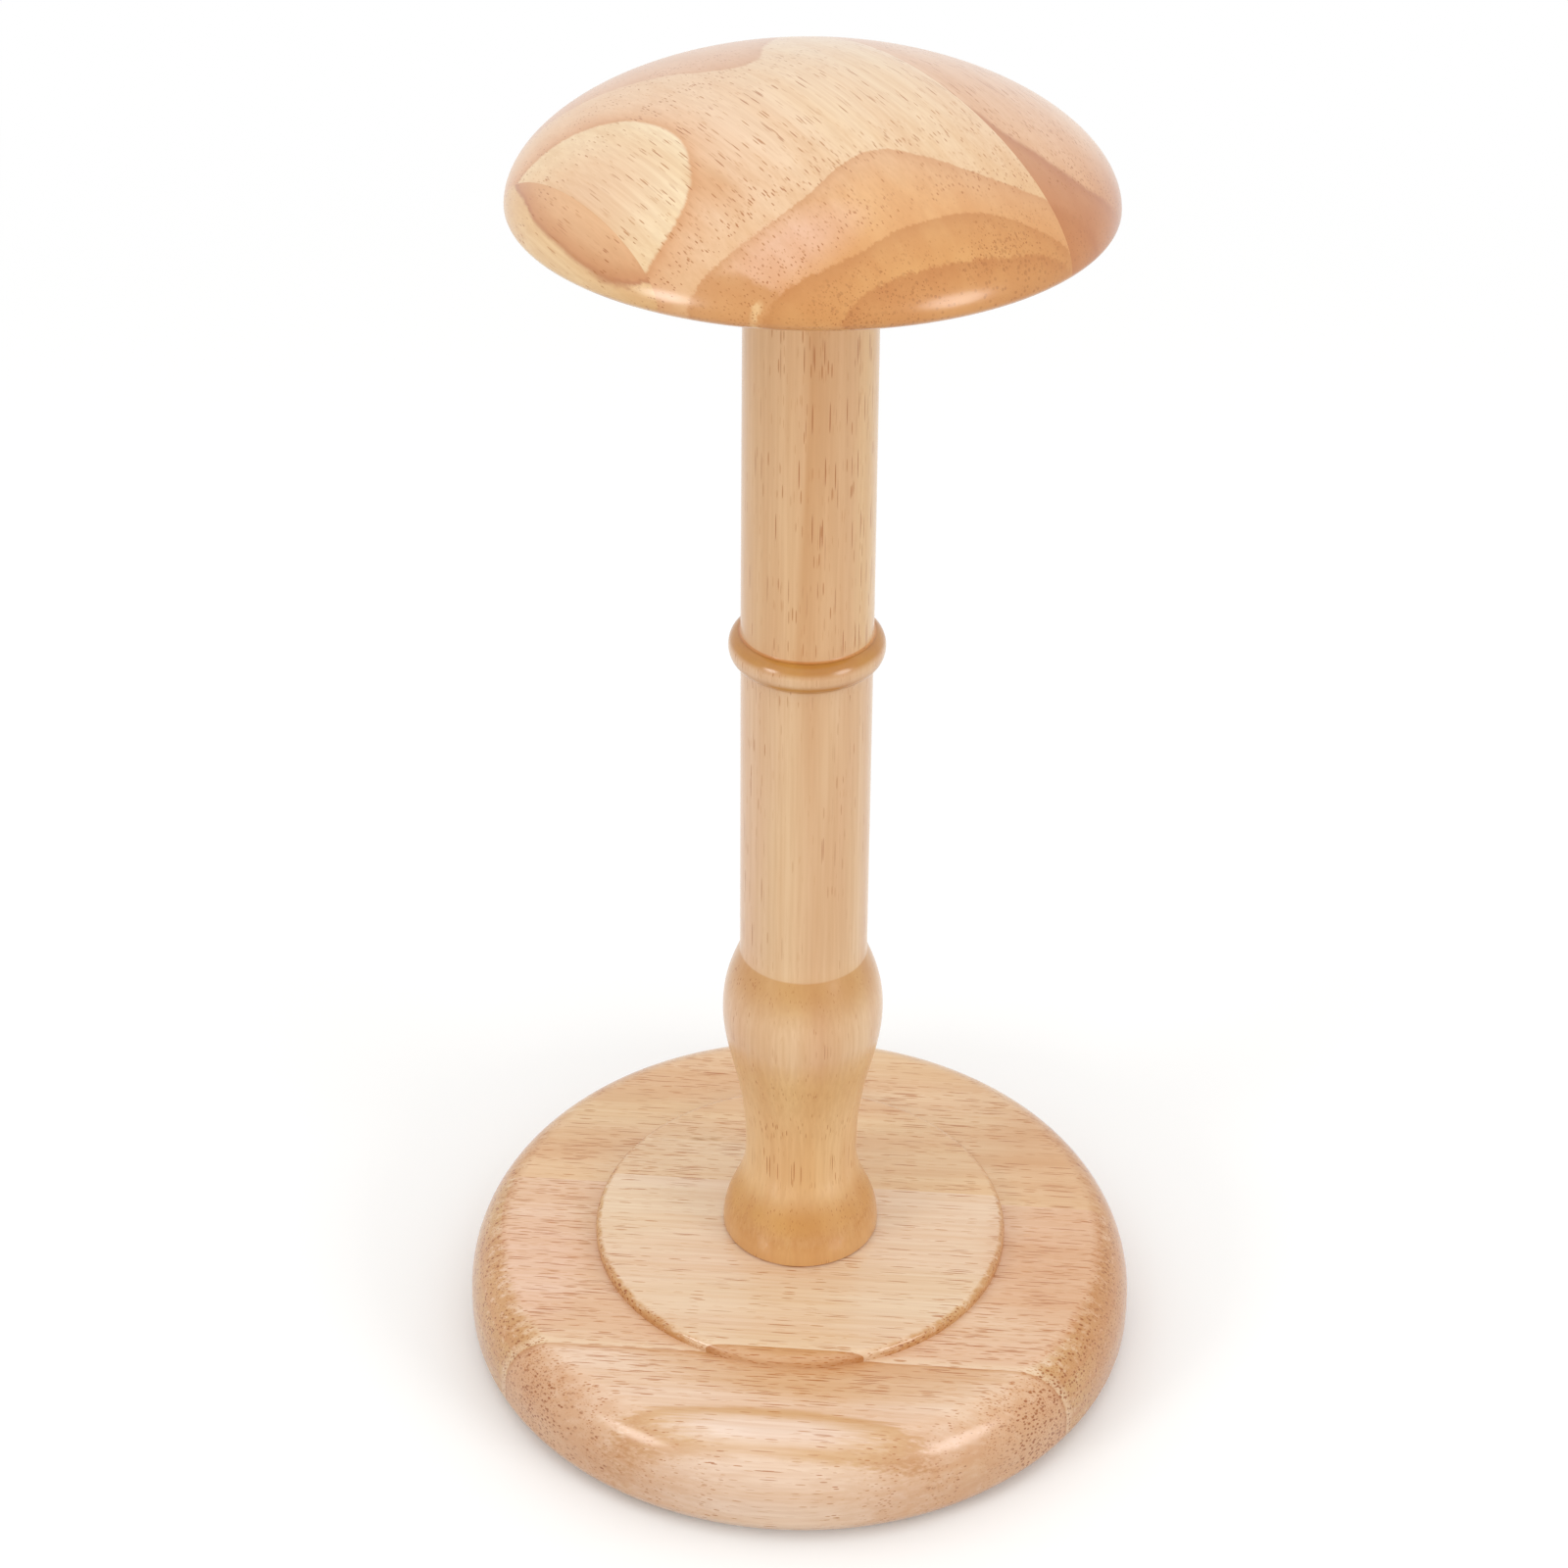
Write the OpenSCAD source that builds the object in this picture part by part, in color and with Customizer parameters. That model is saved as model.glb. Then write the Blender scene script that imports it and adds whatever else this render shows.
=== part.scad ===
// Turned wooden wig stand: a domed cap on a two-piece column over a round base.
// Cap and base are turned from blanks edge-glued of three boards each.
// Three bolts and insert nuts let the stand be screwed apart into four wooden parts.
// Millimetres, +Z up, origin under the middle of the base on the surface it stands on.

/* [Base] */
// Diameter of the base
base_d = 183; // [150:1:240]
// Thickness of the base outside its raised seat
base_t = 28; // [24:0.5:40]
// Width of the rounding along the upper edge
base_top_run = 11.7; // [6:0.1:18]
// Depth of the rounding along the upper edge
base_top_drop = 17.5; // [8:0.5:20]
// Width of the rounding along the lower edge
base_under_run = 10.3; // [4:0.1:16]
// Height of the rounding along the lower edge
base_under_rise = 7; // [3:0.5:12]
// Diameter of the raised seat under the column
seat_d = 113; // [70:1:125]
// Height of the raised seat
seat_h = 3.2; // [2:0.1:6]
// Radius along the rim of the raised seat
seat_edge_r = 2; // [0.5:0.1:3]

/* [Base boards] */
// Turn of the base's grain about the vertical axis
base_grain_angle = -4.5; // [-45:0.5:45]
// Width of the front board at the middle of the base
base_front_w = 39; // [20:0.2:50]
// Width of the rear board at the middle of the base
base_rear_w = 78.2; // [40:0.2:82]

/* [Lower column] */
// Height from the raised seat to the top of the bead
lower_column_h = 187.5; // [150:0.5:230]
// Diameter of the foot where it stands on the seat
foot_d = 42.5; // [38:0.5:56]
// Diameter of the waist above the foot
waist_d = 30; // [26:0.5:36]
// Height of the waist above the seat
waist_h = 27; // [20:0.5:36]
// Diameter of the belly above the waist
belly_d = 42.2; // [36:0.2:56]
// Height of the belly above the seat
belly_h = 73; // [60:0.5:80]
// Diameter of the shaft where it leaves the shoulder
shoulder_d = 33.1; // [28:0.1:36]
// Height of the shoulder crease above the seat
shoulder_h = 92.5; // [84:0.5:110]
// Lean of the shoulder's curve where it meets the shaft, in degrees
shoulder_lean = 26; // [5:1:50]
// Diameter of the column at the joint above the bead
neck_d = 32.6; // [28:0.1:36]
// Height of the bead
bead_h = 8; // [4:0.2:14]
// Distance the bead stands out from the shaft
bead_out = 3; // [1:0.1:6]

/* [Lower column curves] */
// Share of the foot's rise that stays full above the seat
foot_hold = 0.4; // [0.1:0.02:0.6]
// Share of each rise beside the waist that stays slim
waist_hold = 0.51; // [0.1:0.01:0.6]
// Share of the rise to the belly that stays full below it
belly_hold = 0.28; // [0.1:0.02:0.6]
// Share of the rise to the shoulder that stays full above the belly
crown_hold = 0.46; // [0.1:0.02:0.6]
// Share of the rise to the shoulder that runs straight into the crease
shoulder_hold = 0.29; // [0.1:0.01:0.5]

/* [Upper column] */
// Height from the joint above the bead to the underside of the cap
upper_column_h = 107.7; // [70:0.1:160]
// Diameter of the column under the cap
head_d = 31.4; // [26:0.1:36]
// Width of the bevel sanded on the end corners of both columns
arris = 0.5; // [0.2:0.1:1]

/* [Cap] */
// Diameter of the cap
cap_d = 137.8; // [110:0.2:180]
// Height of the cap over its flat underside
cap_h = 33.7; // [26:0.1:50]
// Height of the cap's widest line above its underside
rim_h = 3.9; // [2:0.1:10]
// Width of the rounding under the rim
rim_run = 13; // [4:0.5:20]
// Fullness of the dome, where 2 is an ellipse and less is flatter
dome_power = 1.8; // [1.6:0.05:2.4]

/* [Cap boards] */
// Turn of the cap's grain about the vertical axis
cap_grain_angle = -56.5; // [-90:0.5:90]
// Width of the narrow board left at the rim
cap_left_w = 8.4; // [3:0.2:30]
// Width of the wide outer board
cap_right_w = 46; // [10:0.1:50]

/* [Bolts and nuts] */
// Diameter of the bolts
bolt_d = 8; // [6:1:10]
// Length of a bolt's wood thread
wood_thread_l = 24; // [16:1:30]
// Length of the point on the wood thread
bolt_point_l = 6; // [3:0.5:10]
// Length of a bolt's machine thread
machine_thread_l = 18; // [17:0.5:22]
// Bevel on the end of the machine thread
bolt_bevel = 1; // [0.4:0.1:1.5]
// Diameter of an insert nut's body
nut_d = 12; // [11:0.5:14]
// Length of an insert nut
nut_l = 15; // [10:0.5:16]
// Diameter of an insert nut's flange
nut_flange_d = 15; // [14.5:0.5:20]
// Thickness of an insert nut's flange
nut_flange_t = 1.5; // [1:0.1:3]
// Depth of the flange below the wood's face
nut_set = 0.3; // [0.1:0.1:1]
// Radial clearance of bolts and nuts in their holes
fit_gap = 0.05; // [0.02:0.01:0.1]
// Free depth of a hole past the end of its bolt
end_gap = 1.5; // [0.5:0.5:4]

/* [Hidden] */
$fn = 128;

// Straight pieces in an edge's quarter round, a column's curve and the dome
edge_steps = 12;
curve_steps = 16;
dome_steps = 32;

cream_wood = "#eccb9b";
honey_wood = "#dfae6e";
pink_wood = "#e3b48c";
zinc_steel = "#b9bcc0";
brass_yellow = "#c9a65a";

// Heights where one part stands on the next
seat_z = base_t + seat_h;
joint_z = seat_z + lower_column_h;
cap_z = joint_z + upper_column_h;
top_z = cap_z + cap_h;

base_r = base_d / 2;
seat_r = seat_d / 2;
foot_r = foot_d / 2;
waist_r = waist_d / 2;
belly_r = belly_d / 2;
shoulder_r = shoulder_d / 2;
neck_r = neck_d / 2;
head_r = head_d / 2;
cap_r = cap_d / 2;
bolt_r = bolt_d / 2;
nut_r = nut_d / 2;
nut_flange_r = nut_flange_d / 2;

// The upper rounding leaves the lower one its height
top_drop = min(base_top_drop, base_t - base_under_rise);
seat_edge = min(seat_edge_r, seat_h);

// Glue lines, measured across the grain from the axis
base_front_line = base_front_w - base_r;
base_rear_line = base_r - base_rear_w;
cap_left_line = cap_left_w - cap_r;
cap_right_line = cap_r - cap_right_w;

// Points of an elliptical arc about a centre, from one angle to another
function arc(centre, run, rise, from, to) = [
    for (i = [0 : edge_steps])
        let (a = from + (to - from) * i / edge_steps)
        centre + [run * cos(a), rise * sin(a)]
];

// Points of a curve from a to d that leaves towards b and arrives from c
function curve(a, b, c, d) = [
    for (i = [0 : curve_steps])
        let (t = i / curve_steps, s = 1 - t)
        s * s * s * a + 3 * s * s * t * b + 3 * s * t * t * c + t * t * t * d
];

// Points of a dome from its widest line up to its crown
function dome(z, r, h, power) = [
    for (i = [0 : dome_steps])
        let (a = 90 * i / dome_steps)
        [r * pow(cos(a), 2 / power), z + h * pow(sin(a), 2 / power)]
];

function base_outline() = concat(
    [[0, 0]],
    arc([base_r - base_under_run, base_under_rise], base_under_run, base_under_rise, -90, 0),
    arc([base_r - base_top_run, base_t - top_drop], base_top_run, top_drop, 0, 90),
    [[seat_r, base_t]],
    arc([seat_r - seat_edge, seat_z - seat_edge], seat_edge, seat_edge, 0, 90),
    [[0, seat_z]]
);

function cap_outline() = concat(
    [[0, cap_z]],
    arc([cap_r - rim_run, cap_z + rim_h], rim_run, rim_h, -90, 0),
    dome(cap_z + rim_h, cap_r, cap_h - rim_h, dome_power)
);

function lower_column_outline() =
    let (
        foot = [foot_r, seat_z + arris],
        waist = [waist_r, seat_z + waist_h],
        belly = [belly_r, seat_z + belly_h],
        crease = [shoulder_r, seat_z + shoulder_h],
        foot_rise = waist.y - foot.y,
        belly_rise = belly.y - waist.y,
        shoulder_rise = crease.y - belly.y,
        lean = shoulder_hold * shoulder_rise
    )
    concat(
        [[0, seat_z], [foot_r - arris, seat_z]],
        curve(foot, foot + [0, foot_hold * foot_rise], waist - [0, waist_hold * foot_rise], waist),
        curve(waist, waist + [0, waist_hold * belly_rise], belly - [0, belly_hold * belly_rise], belly),
        curve(belly, belly + [0, crown_hold * shoulder_rise], crease + lean * [tan(shoulder_lean), -1], crease),
        arc([neck_r, joint_z - bead_h / 2], bead_out, bead_h / 2, -90, 90),
        [[0, joint_z]]
    );

function upper_column_outline() = [
    [0, joint_z],
    [neck_r - arris, joint_z],
    [neck_r, joint_z + arris],
    [head_r, cap_z - arris],
    [head_r - arris, cap_z],
    [0, cap_z]
];

module turned(outline) {
    rotate_extrude() polygon(outline);
}

// The stretch of a blank between two lines across its grain
module between(from, to, angle, reach, height) {
    rotate([0, 0, angle])
        translate([-reach, from, 0])
            cube([2 * reach, to - from, height]);
}

// Bolt with its wood thread down, its machine thread up and the joint at zero
module hanger_bolt() {
    turned([
        [0, -wood_thread_l],
        [bolt_r, bolt_point_l - wood_thread_l],
        [bolt_r, machine_thread_l - bolt_bevel],
        [bolt_r - bolt_bevel, machine_thread_l],
        [0, machine_thread_l]
    ]);
}

// Flanged insert nut with the wood's face at zero and its body above
module insert_nut() {
    difference() {
        union() {
            translate([0, 0, nut_set]) cylinder(r = nut_flange_r, h = nut_flange_t);
            translate([0, 0, nut_set]) cylinder(r = nut_r, h = nut_l);
        }
        cylinder(r = bolt_r + fit_gap, h = nut_set + nut_l + end_gap);
    }
}

// Hole for an insert nut and the bolt's end, upwards from the wood's face
module nut_hole() {
    translate([0, 0, -end_gap])
        cylinder(r = nut_flange_r + fit_gap, h = end_gap + nut_set + nut_flange_t);
    cylinder(r = nut_r + fit_gap, h = machine_thread_l + end_gap);
}

// Hole for a bolt's wood thread, upwards from the wood's face
module bolt_hole() {
    translate([0, 0, -end_gap])
        cylinder(r = bolt_r + fit_gap, h = end_gap + wood_thread_l + end_gap);
}

module at(z) {
    translate([0, 0, z]) children();
}

module flipped_at(z) {
    translate([0, 0, z]) rotate([180, 0, 0]) children();
}

module base_board(from, to) {
    difference() {
        intersection() {
            turned(base_outline());
            between(from, to, base_grain_angle, base_d, seat_z);
        }
        flipped_at(seat_z) nut_hole();
    }
}

module cap_board(from, to) {
    difference() {
        intersection() {
            turned(cap_outline());
            between(from, to, cap_grain_angle, cap_d, top_z);
        }
        at(cap_z) nut_hole();
    }
}

module cap_left_board() {
    color(cream_wood) cap_board(-cap_d, cap_left_line);
}

module cap_centre_board() {
    color(honey_wood) cap_board(cap_left_line, cap_right_line);
}

module cap_right_board() {
    color(pink_wood) cap_board(cap_right_line, cap_d);
}

module cap_nut() {
    color(brass_yellow) at(cap_z) insert_nut();
}

module cap_bolt() {
    color(zinc_steel) at(cap_z) hanger_bolt();
}

module upper_column() {
    color(honey_wood) difference() {
        turned(upper_column_outline());
        at(joint_z) nut_hole();
        flipped_at(cap_z) bolt_hole();
    }
}

module middle_nut() {
    color(brass_yellow) at(joint_z) insert_nut();
}

module middle_bolt() {
    color(zinc_steel) at(joint_z) hanger_bolt();
}

module lower_column() {
    color(honey_wood) difference() {
        turned(lower_column_outline());
        flipped_at(joint_z) bolt_hole();
        at(seat_z) bolt_hole();
    }
}

module base_bolt() {
    color(zinc_steel) flipped_at(seat_z) hanger_bolt();
}

module base_nut() {
    color(brass_yellow) flipped_at(seat_z) insert_nut();
}

module base_front_board() {
    color(pink_wood) base_board(-base_d, base_front_line);
}

module base_centre_board() {
    color(cream_wood) base_board(base_front_line, base_rear_line);
}

module base_rear_board() {
    color(honey_wood) base_board(base_rear_line, base_d);
}

cap_left_board();
cap_centre_board();
cap_right_board();
cap_nut();
cap_bolt();
upper_column();
middle_nut();
middle_bolt();
lower_column();
base_bolt();
base_nut();
base_front_board();
base_centre_board();
base_rear_board();
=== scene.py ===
"""Looks of a turned wooden wig stand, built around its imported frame.

The wooden parts are turned again as smooth meshes with a varnished rubberwood finish, each board
with its own figure, and the bolts and nuts inside the joints get real threads.
"""

import logging
import math
from collections.abc import Sequence
from dataclasses import dataclass
from enum import Enum
from typing import Any

import bmesh
import bpy
from mathutils import Euler, Matrix, Vector


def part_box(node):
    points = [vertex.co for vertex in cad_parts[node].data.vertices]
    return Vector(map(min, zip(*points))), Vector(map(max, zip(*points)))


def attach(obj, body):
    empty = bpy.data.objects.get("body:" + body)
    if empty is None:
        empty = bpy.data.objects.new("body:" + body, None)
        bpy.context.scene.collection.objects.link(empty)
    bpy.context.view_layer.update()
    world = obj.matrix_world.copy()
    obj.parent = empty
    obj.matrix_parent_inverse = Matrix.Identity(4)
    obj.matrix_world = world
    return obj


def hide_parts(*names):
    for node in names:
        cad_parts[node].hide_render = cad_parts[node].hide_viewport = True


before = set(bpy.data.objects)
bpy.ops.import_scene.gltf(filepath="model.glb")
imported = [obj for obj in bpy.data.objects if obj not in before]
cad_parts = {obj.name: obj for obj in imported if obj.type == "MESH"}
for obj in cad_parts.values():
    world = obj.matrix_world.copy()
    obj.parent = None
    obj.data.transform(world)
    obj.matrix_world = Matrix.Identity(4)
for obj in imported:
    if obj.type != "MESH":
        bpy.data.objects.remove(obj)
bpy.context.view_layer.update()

MM = 0.001
TURNED_SEGMENTS = 256
SHARP_ANGLE = math.radians(28)
WELD = 1e-6
# Half width in mm of the plan on which the edges of growth layers are drawn
PLAN_REACH = 100.0
# Shortest depth in mm over which a growth layer's shades are spread
SHORTEST_RAMP = 1.0
# Past every edge of a blank, in mm
BEYOND = 200.0

# The kinds of node that most of the patterns are made of
MATH = "ShaderNodeMath"
VECTOR_MATH = "ShaderNodeVectorMath"
MAP_RANGE = "ShaderNodeMapRange"
MIX = "ShaderNodeMix"

Tree = bpy.types.NodeTree
Socket = bpy.types.NodeSocket
Outputs = bpy.types.bpy_prop_collection
Material = bpy.types.Material
Object = bpy.types.Object
Point = tuple[float, float]
Shade = tuple[float, str, float]

log = logging.getLogger("wig_stand")


def linear(hex_colour: str) -> tuple[float, float, float, float]:
    """Turn an sRGB colour into the linear values that the nodes take.

    Args:
        hex_colour: six hex digits after a hash sign.

    Returns:
        Linear red, green, blue and an alpha of 1.
    """
    channels = [int(hex_colour[i : i + 2], 16) / 255 for i in (1, 3, 5)]
    red, green, blue = (c / 12.92 if c <= 0.04045 else ((c + 0.055) / 1.055) ** 2.4 for c in channels)
    return red, green, blue, 1.0


def add(tree: Tree, kind: str, inputs: dict[str | int, Any] | None = None, **settings: Any) -> Outputs:
    """Add one node to a tree.

    Args:
        tree: the tree that gets the node.
        kind: the node's type name.
        inputs: a value or an output socket for each input named or numbered.
        settings: the node's own properties.

    Returns:
        The new node's outputs.
    """
    node = tree.nodes.new(kind)
    for name, value in settings.items():
        setattr(node, name, value)
    for key, value in (inputs or {}).items():
        if isinstance(value, Socket):
            tree.links.new(value, node.inputs[key])
        else:
            node.inputs[key].default_value = value
    return node.outputs


def empty_material(name: str) -> Material:
    """Start a material.

    Args:
        name: the material's name.

    Returns:
        The material with no nodes.
    """
    material = bpy.data.materials.new(name)
    material.use_nodes = True
    material.node_tree.nodes.clear()
    return material


def put(name: str, data: bpy.types.ID) -> Object:
    """Put an object into the scene.

    Args:
        name: the object's name.
        data: its mesh, lamp or camera.

    Returns:
        The new object.
    """
    obj = bpy.data.objects.new(name, data)
    bpy.context.scene.collection.objects.link(obj)
    return obj


def box_mm(*nodes: str) -> tuple[Vector, Vector]:
    """Give the box around some of the frame's nodes.

    Args:
        nodes: names of the nodes.

    Returns:
        The lowest and the highest corner, in millimetres.
    """
    boxes = [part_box(node) for node in nodes]
    low = Vector(min(b[0][i] for b in boxes) for i in range(3))
    high = Vector(max(b[1][i] for b in boxes) for i in range(3))
    return low / MM, high / MM


def bearing(azimuth: float, elevation: float) -> Vector:
    """Give the direction of a place round the stand.

    Args:
        azimuth: degrees round from the front, positive to the right.
        elevation: degrees above the floor.

    Returns:
        The direction from the stand, one long.
    """
    turn, rise = math.radians(azimuth), math.radians(elevation)
    return Vector((math.sin(turn) * math.cos(rise), -math.cos(turn) * math.cos(rise), math.sin(rise)))


def arc(centre: Point, run: float, rise: float, start: float, end: float, steps: int = 24) -> list[Point]:
    """Give the points of an elliptical arc.

    Args:
        centre: the arc's centre, as radius and height.
        run: half width of the ellipse.
        rise: half height of the ellipse.
        start: angle of the first point in degrees.
        end: angle of the last point in degrees.
        steps: number of straight pieces.

    Returns:
        Points as radius and height.
    """
    angles = [math.radians(start + (end - start) * i / steps) for i in range(steps + 1)]
    return [(centre[0] + run * math.cos(a), centre[1] + rise * math.sin(a)) for a in angles]


def curve(a: Point, b: Point, c: Point, d: Point, steps: int = 40) -> list[Point]:
    """Give the points of a curve that leaves a towards b and reaches d from c.

    Args:
        a: first point.
        b: point that the curve sets out towards.
        c: point that the curve arrives from.
        d: last point.
        steps: number of straight pieces.

    Returns:
        Points as radius and height.
    """
    points = []
    for i in range(steps + 1):
        t = i / steps
        s = 1 - t
        shares = (s**3, 3 * s * s * t, 3 * s * t * t, t**3)
        points.append(tuple(sum(w * p[k] for w, p in zip(shares, (a, b, c, d))) for k in (0, 1)))
    return points


def filled(points: Sequence[Point], step: float) -> list[Point]:
    """Put more points on the straight stretches of an outline.

    Args:
        points: corners of the outline.
        step: longest distance left between two points.

    Returns:
        The outline with its corners and the points between them.
    """
    dense = [points[0]]
    for (r0, z0), (r1, z1) in zip(points, points[1:]):
        count = max(1, math.ceil(math.hypot(r1 - r0, z1 - z0) / step))
        dense += [(r0 + (r1 - r0) * i / count, z0 + (z1 - z0) * i / count) for i in range(1, count + 1)]
    return dense


def per_mm(length: float, width: float) -> tuple[float, float, float]:
    """Give the scale of a pattern whose marks have a length along X and a width across it in mm."""
    return 1 / length, 1 / width, 1 / width


def opaque(shades: dict[float, str]) -> tuple[Shade, ...]:
    """Give the shades of a layer that hides what is under it, from a colour for each distance in mm."""
    return tuple((distance, colour, 1.0) for distance, colour in shades.items())


def fading(colour: str, depth: float, cover: float) -> tuple[Shade, ...]:
    """Give the shades of a tint that grows from nothing at its edge to its cover at a depth in mm."""
    return (0.0, colour, 0.0), (depth, colour, cover)


class Grain(Enum):
    """Way the fibres run in a piece, as the turn of its axes that brings them along X."""

    BASE = (0.0, 0.0, math.radians(4.5))
    CAP = (math.radians(-7), 0.0, math.radians(56.5))
    UPRIGHT = (0.0, math.radians(90), 0.0)

    def direction(self) -> Vector:
        """Give the fibres' direction in the frame."""
        return Euler(self.value).to_matrix().inverted() @ Vector((1, 0, 0))


class Streak(Enum):
    """Streaks along the fibres: length and width in mm, and part of the noise from none to full."""

    BROAD = (120.0, 7.0, 0.3)
    FINE = (38.0, 0.9, 0.3)
    FLUSH = (150.0, 26.0, 0.25)
    FEATHER = (24.0, 0.8, 0.8)
    COMB = (30.0, 1.8, 0.5)


@dataclass(frozen=True)
class Layer:
    """A growth layer that a board's face cuts: darkest along its edge, paler further in.

    Attributes:
        shades: distance into the layer in mm, colour and cover, from the edge inwards.
        soft: half width in mm over which the edge blends.
    """

    shades: tuple[Shade, ...]
    soft: float = 0.35

    def depth(self, tree: Tree, plan: Socket) -> Socket:
        """Add the nodes that measure how far a place lies inside the layer."""
        raise NotImplementedError

    def inside(self, tree: Tree, depth: Socket) -> Socket:
        """Add the nodes that blend from 0 to 1 over the layer's edge."""
        limits = {"Value": depth, "From Min": -self.soft, "From Max": self.soft}
        return add(tree, MAP_RANGE, limits, interpolation_type="SMOOTHSTEP")[0]

    def paint(self, tree: Tree, plan: Socket, under: Socket) -> Socket:
        """Add the nodes that lay this layer's colours over those under it.

        Args:
            tree: the material's tree.
            plan: place in mm.
            under: colour so far.

        Returns:
            The colour with this layer on it.
        """
        depth = self.depth(tree, plan)
        reach = max(self.shades[-1][0], SHORTEST_RAMP)
        share = add(tree, MATH, {0: depth, 1: reach}, operation="DIVIDE", use_clamp=True)
        ramp = add(tree, "ShaderNodeValToRGB", {"Fac": share[0]})
        stops = ramp[0].node.color_ramp.elements
        while len(stops) < len(self.shades):
            stops.new(1.0)
        for stop, (distance, colour, cover) in zip(stops, self.shades):
            stop.position = distance / reach
            stop.color = (*linear(colour)[:3], cover)
        covers = {0: self.inside(tree, depth), 1: ramp["Alpha"]}
        cover = add(tree, MATH, covers, operation="MULTIPLY")[0]
        return add(tree, MIX, {0: cover, 6: under, 7: ramp["Color"]}, data_type="RGBA")[2]


@dataclass(frozen=True)
class LineLayer(Layer):
    """A layer on one side of a drawn edge.

    Attributes:
        edge: points of the edge in mm, in order of their first value.
        turn: degrees that the axes of those points are turned in plan.
        above: whether the layer lies on the side of larger second values.
        upright: whether the edge is drawn on the front, as X and Z, and not on the plan.
    """

    edge: tuple[Point, ...] = ()
    turn: float = 0.0
    above: bool = False
    upright: bool = False

    def depth(self, tree: Tree, plan: Socket) -> Socket:
        """Add the nodes that measure the distance past the edge.

        Args:
            tree: the material's tree.
            plan: place in mm.

        Returns:
            Distance into the layer in mm, negative outside it.
        """
        angle = {"Vector": plan, "Angle": -math.radians(self.turn)}
        turned = add(tree, "ShaderNodeVectorRotate", angle, rotation_type="Z_AXIS")[0]
        axes = add(tree, "ShaderNodeSeparateXYZ", {0: turned})
        limits = {"Value": axes["X"], "From Min": -PLAN_REACH, "From Max": PLAN_REACH}
        bend = add(tree, "ShaderNodeFloatCurve", {"Value": add(tree, MAP_RANGE, limits)[0]})[0]
        mapping = bend.node.mapping
        drawn = mapping.curves[0].points
        marks = [tuple((value + PLAN_REACH) / (2 * PLAN_REACH) for value in point) for point in self.edge]
        drawn[0].location, drawn[-1].location = marks[0], marks[-1]
        for mark in marks[1:-1]:
            drawn.new(*mark)
        mapping.update()
        height = add(tree, MAP_RANGE, {"Value": bend, "To Min": -PLAN_REACH, "To Max": PLAN_REACH})
        ends = (axes["Z" if self.upright else "Y"], height[0])
        first, second = ends if self.above else reversed(ends)
        return add(tree, MATH, {0: first, 1: second}, operation="SUBTRACT")[0]


@dataclass(frozen=True)
class OvalLayer(Layer):
    """A layer inside or around an oval.

    Attributes:
        centre: middle of the oval in plan, in mm.
        along: half length of the oval in mm.
        across: half width of the oval in mm.
        turn: degrees that the oval's length is turned in plan.
        around: whether the layer lies outside the oval.
        tall: half height in mm, large enough for the height not to count.
    """

    centre: Point = (0.0, 0.0)
    along: float = 10.0
    across: float = 5.0
    turn: float = 0.0
    around: bool = False
    tall: float = 1e6

    def depth(self, tree: Tree, plan: Socket) -> Socket:
        """Add the nodes that measure the distance from the oval's edge.

        Args:
            tree: the material's tree.
            plan: place in mm.

        Returns:
            Distance into the layer in mm, negative outside it.
        """
        oval = {
            "Vector": plan,
            "Location": (*self.centre, 0.0),
            "Rotation": (0.0, 0.0, math.radians(self.turn)),
            "Scale": (self.along, self.across, self.tall),
        }
        placed = add(tree, "ShaderNodeMapping", oval, vector_type="TEXTURE")[0]
        share = add(tree, VECTOR_MATH, {0: placed}, operation="LENGTH")["Value"]
        size = min(self.along, self.across)
        limits = {"Value": share, "To Min": -size if self.around else size, "To Max": 0.0}
        return add(tree, MAP_RANGE, limits, clamp=False)[0]


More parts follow.
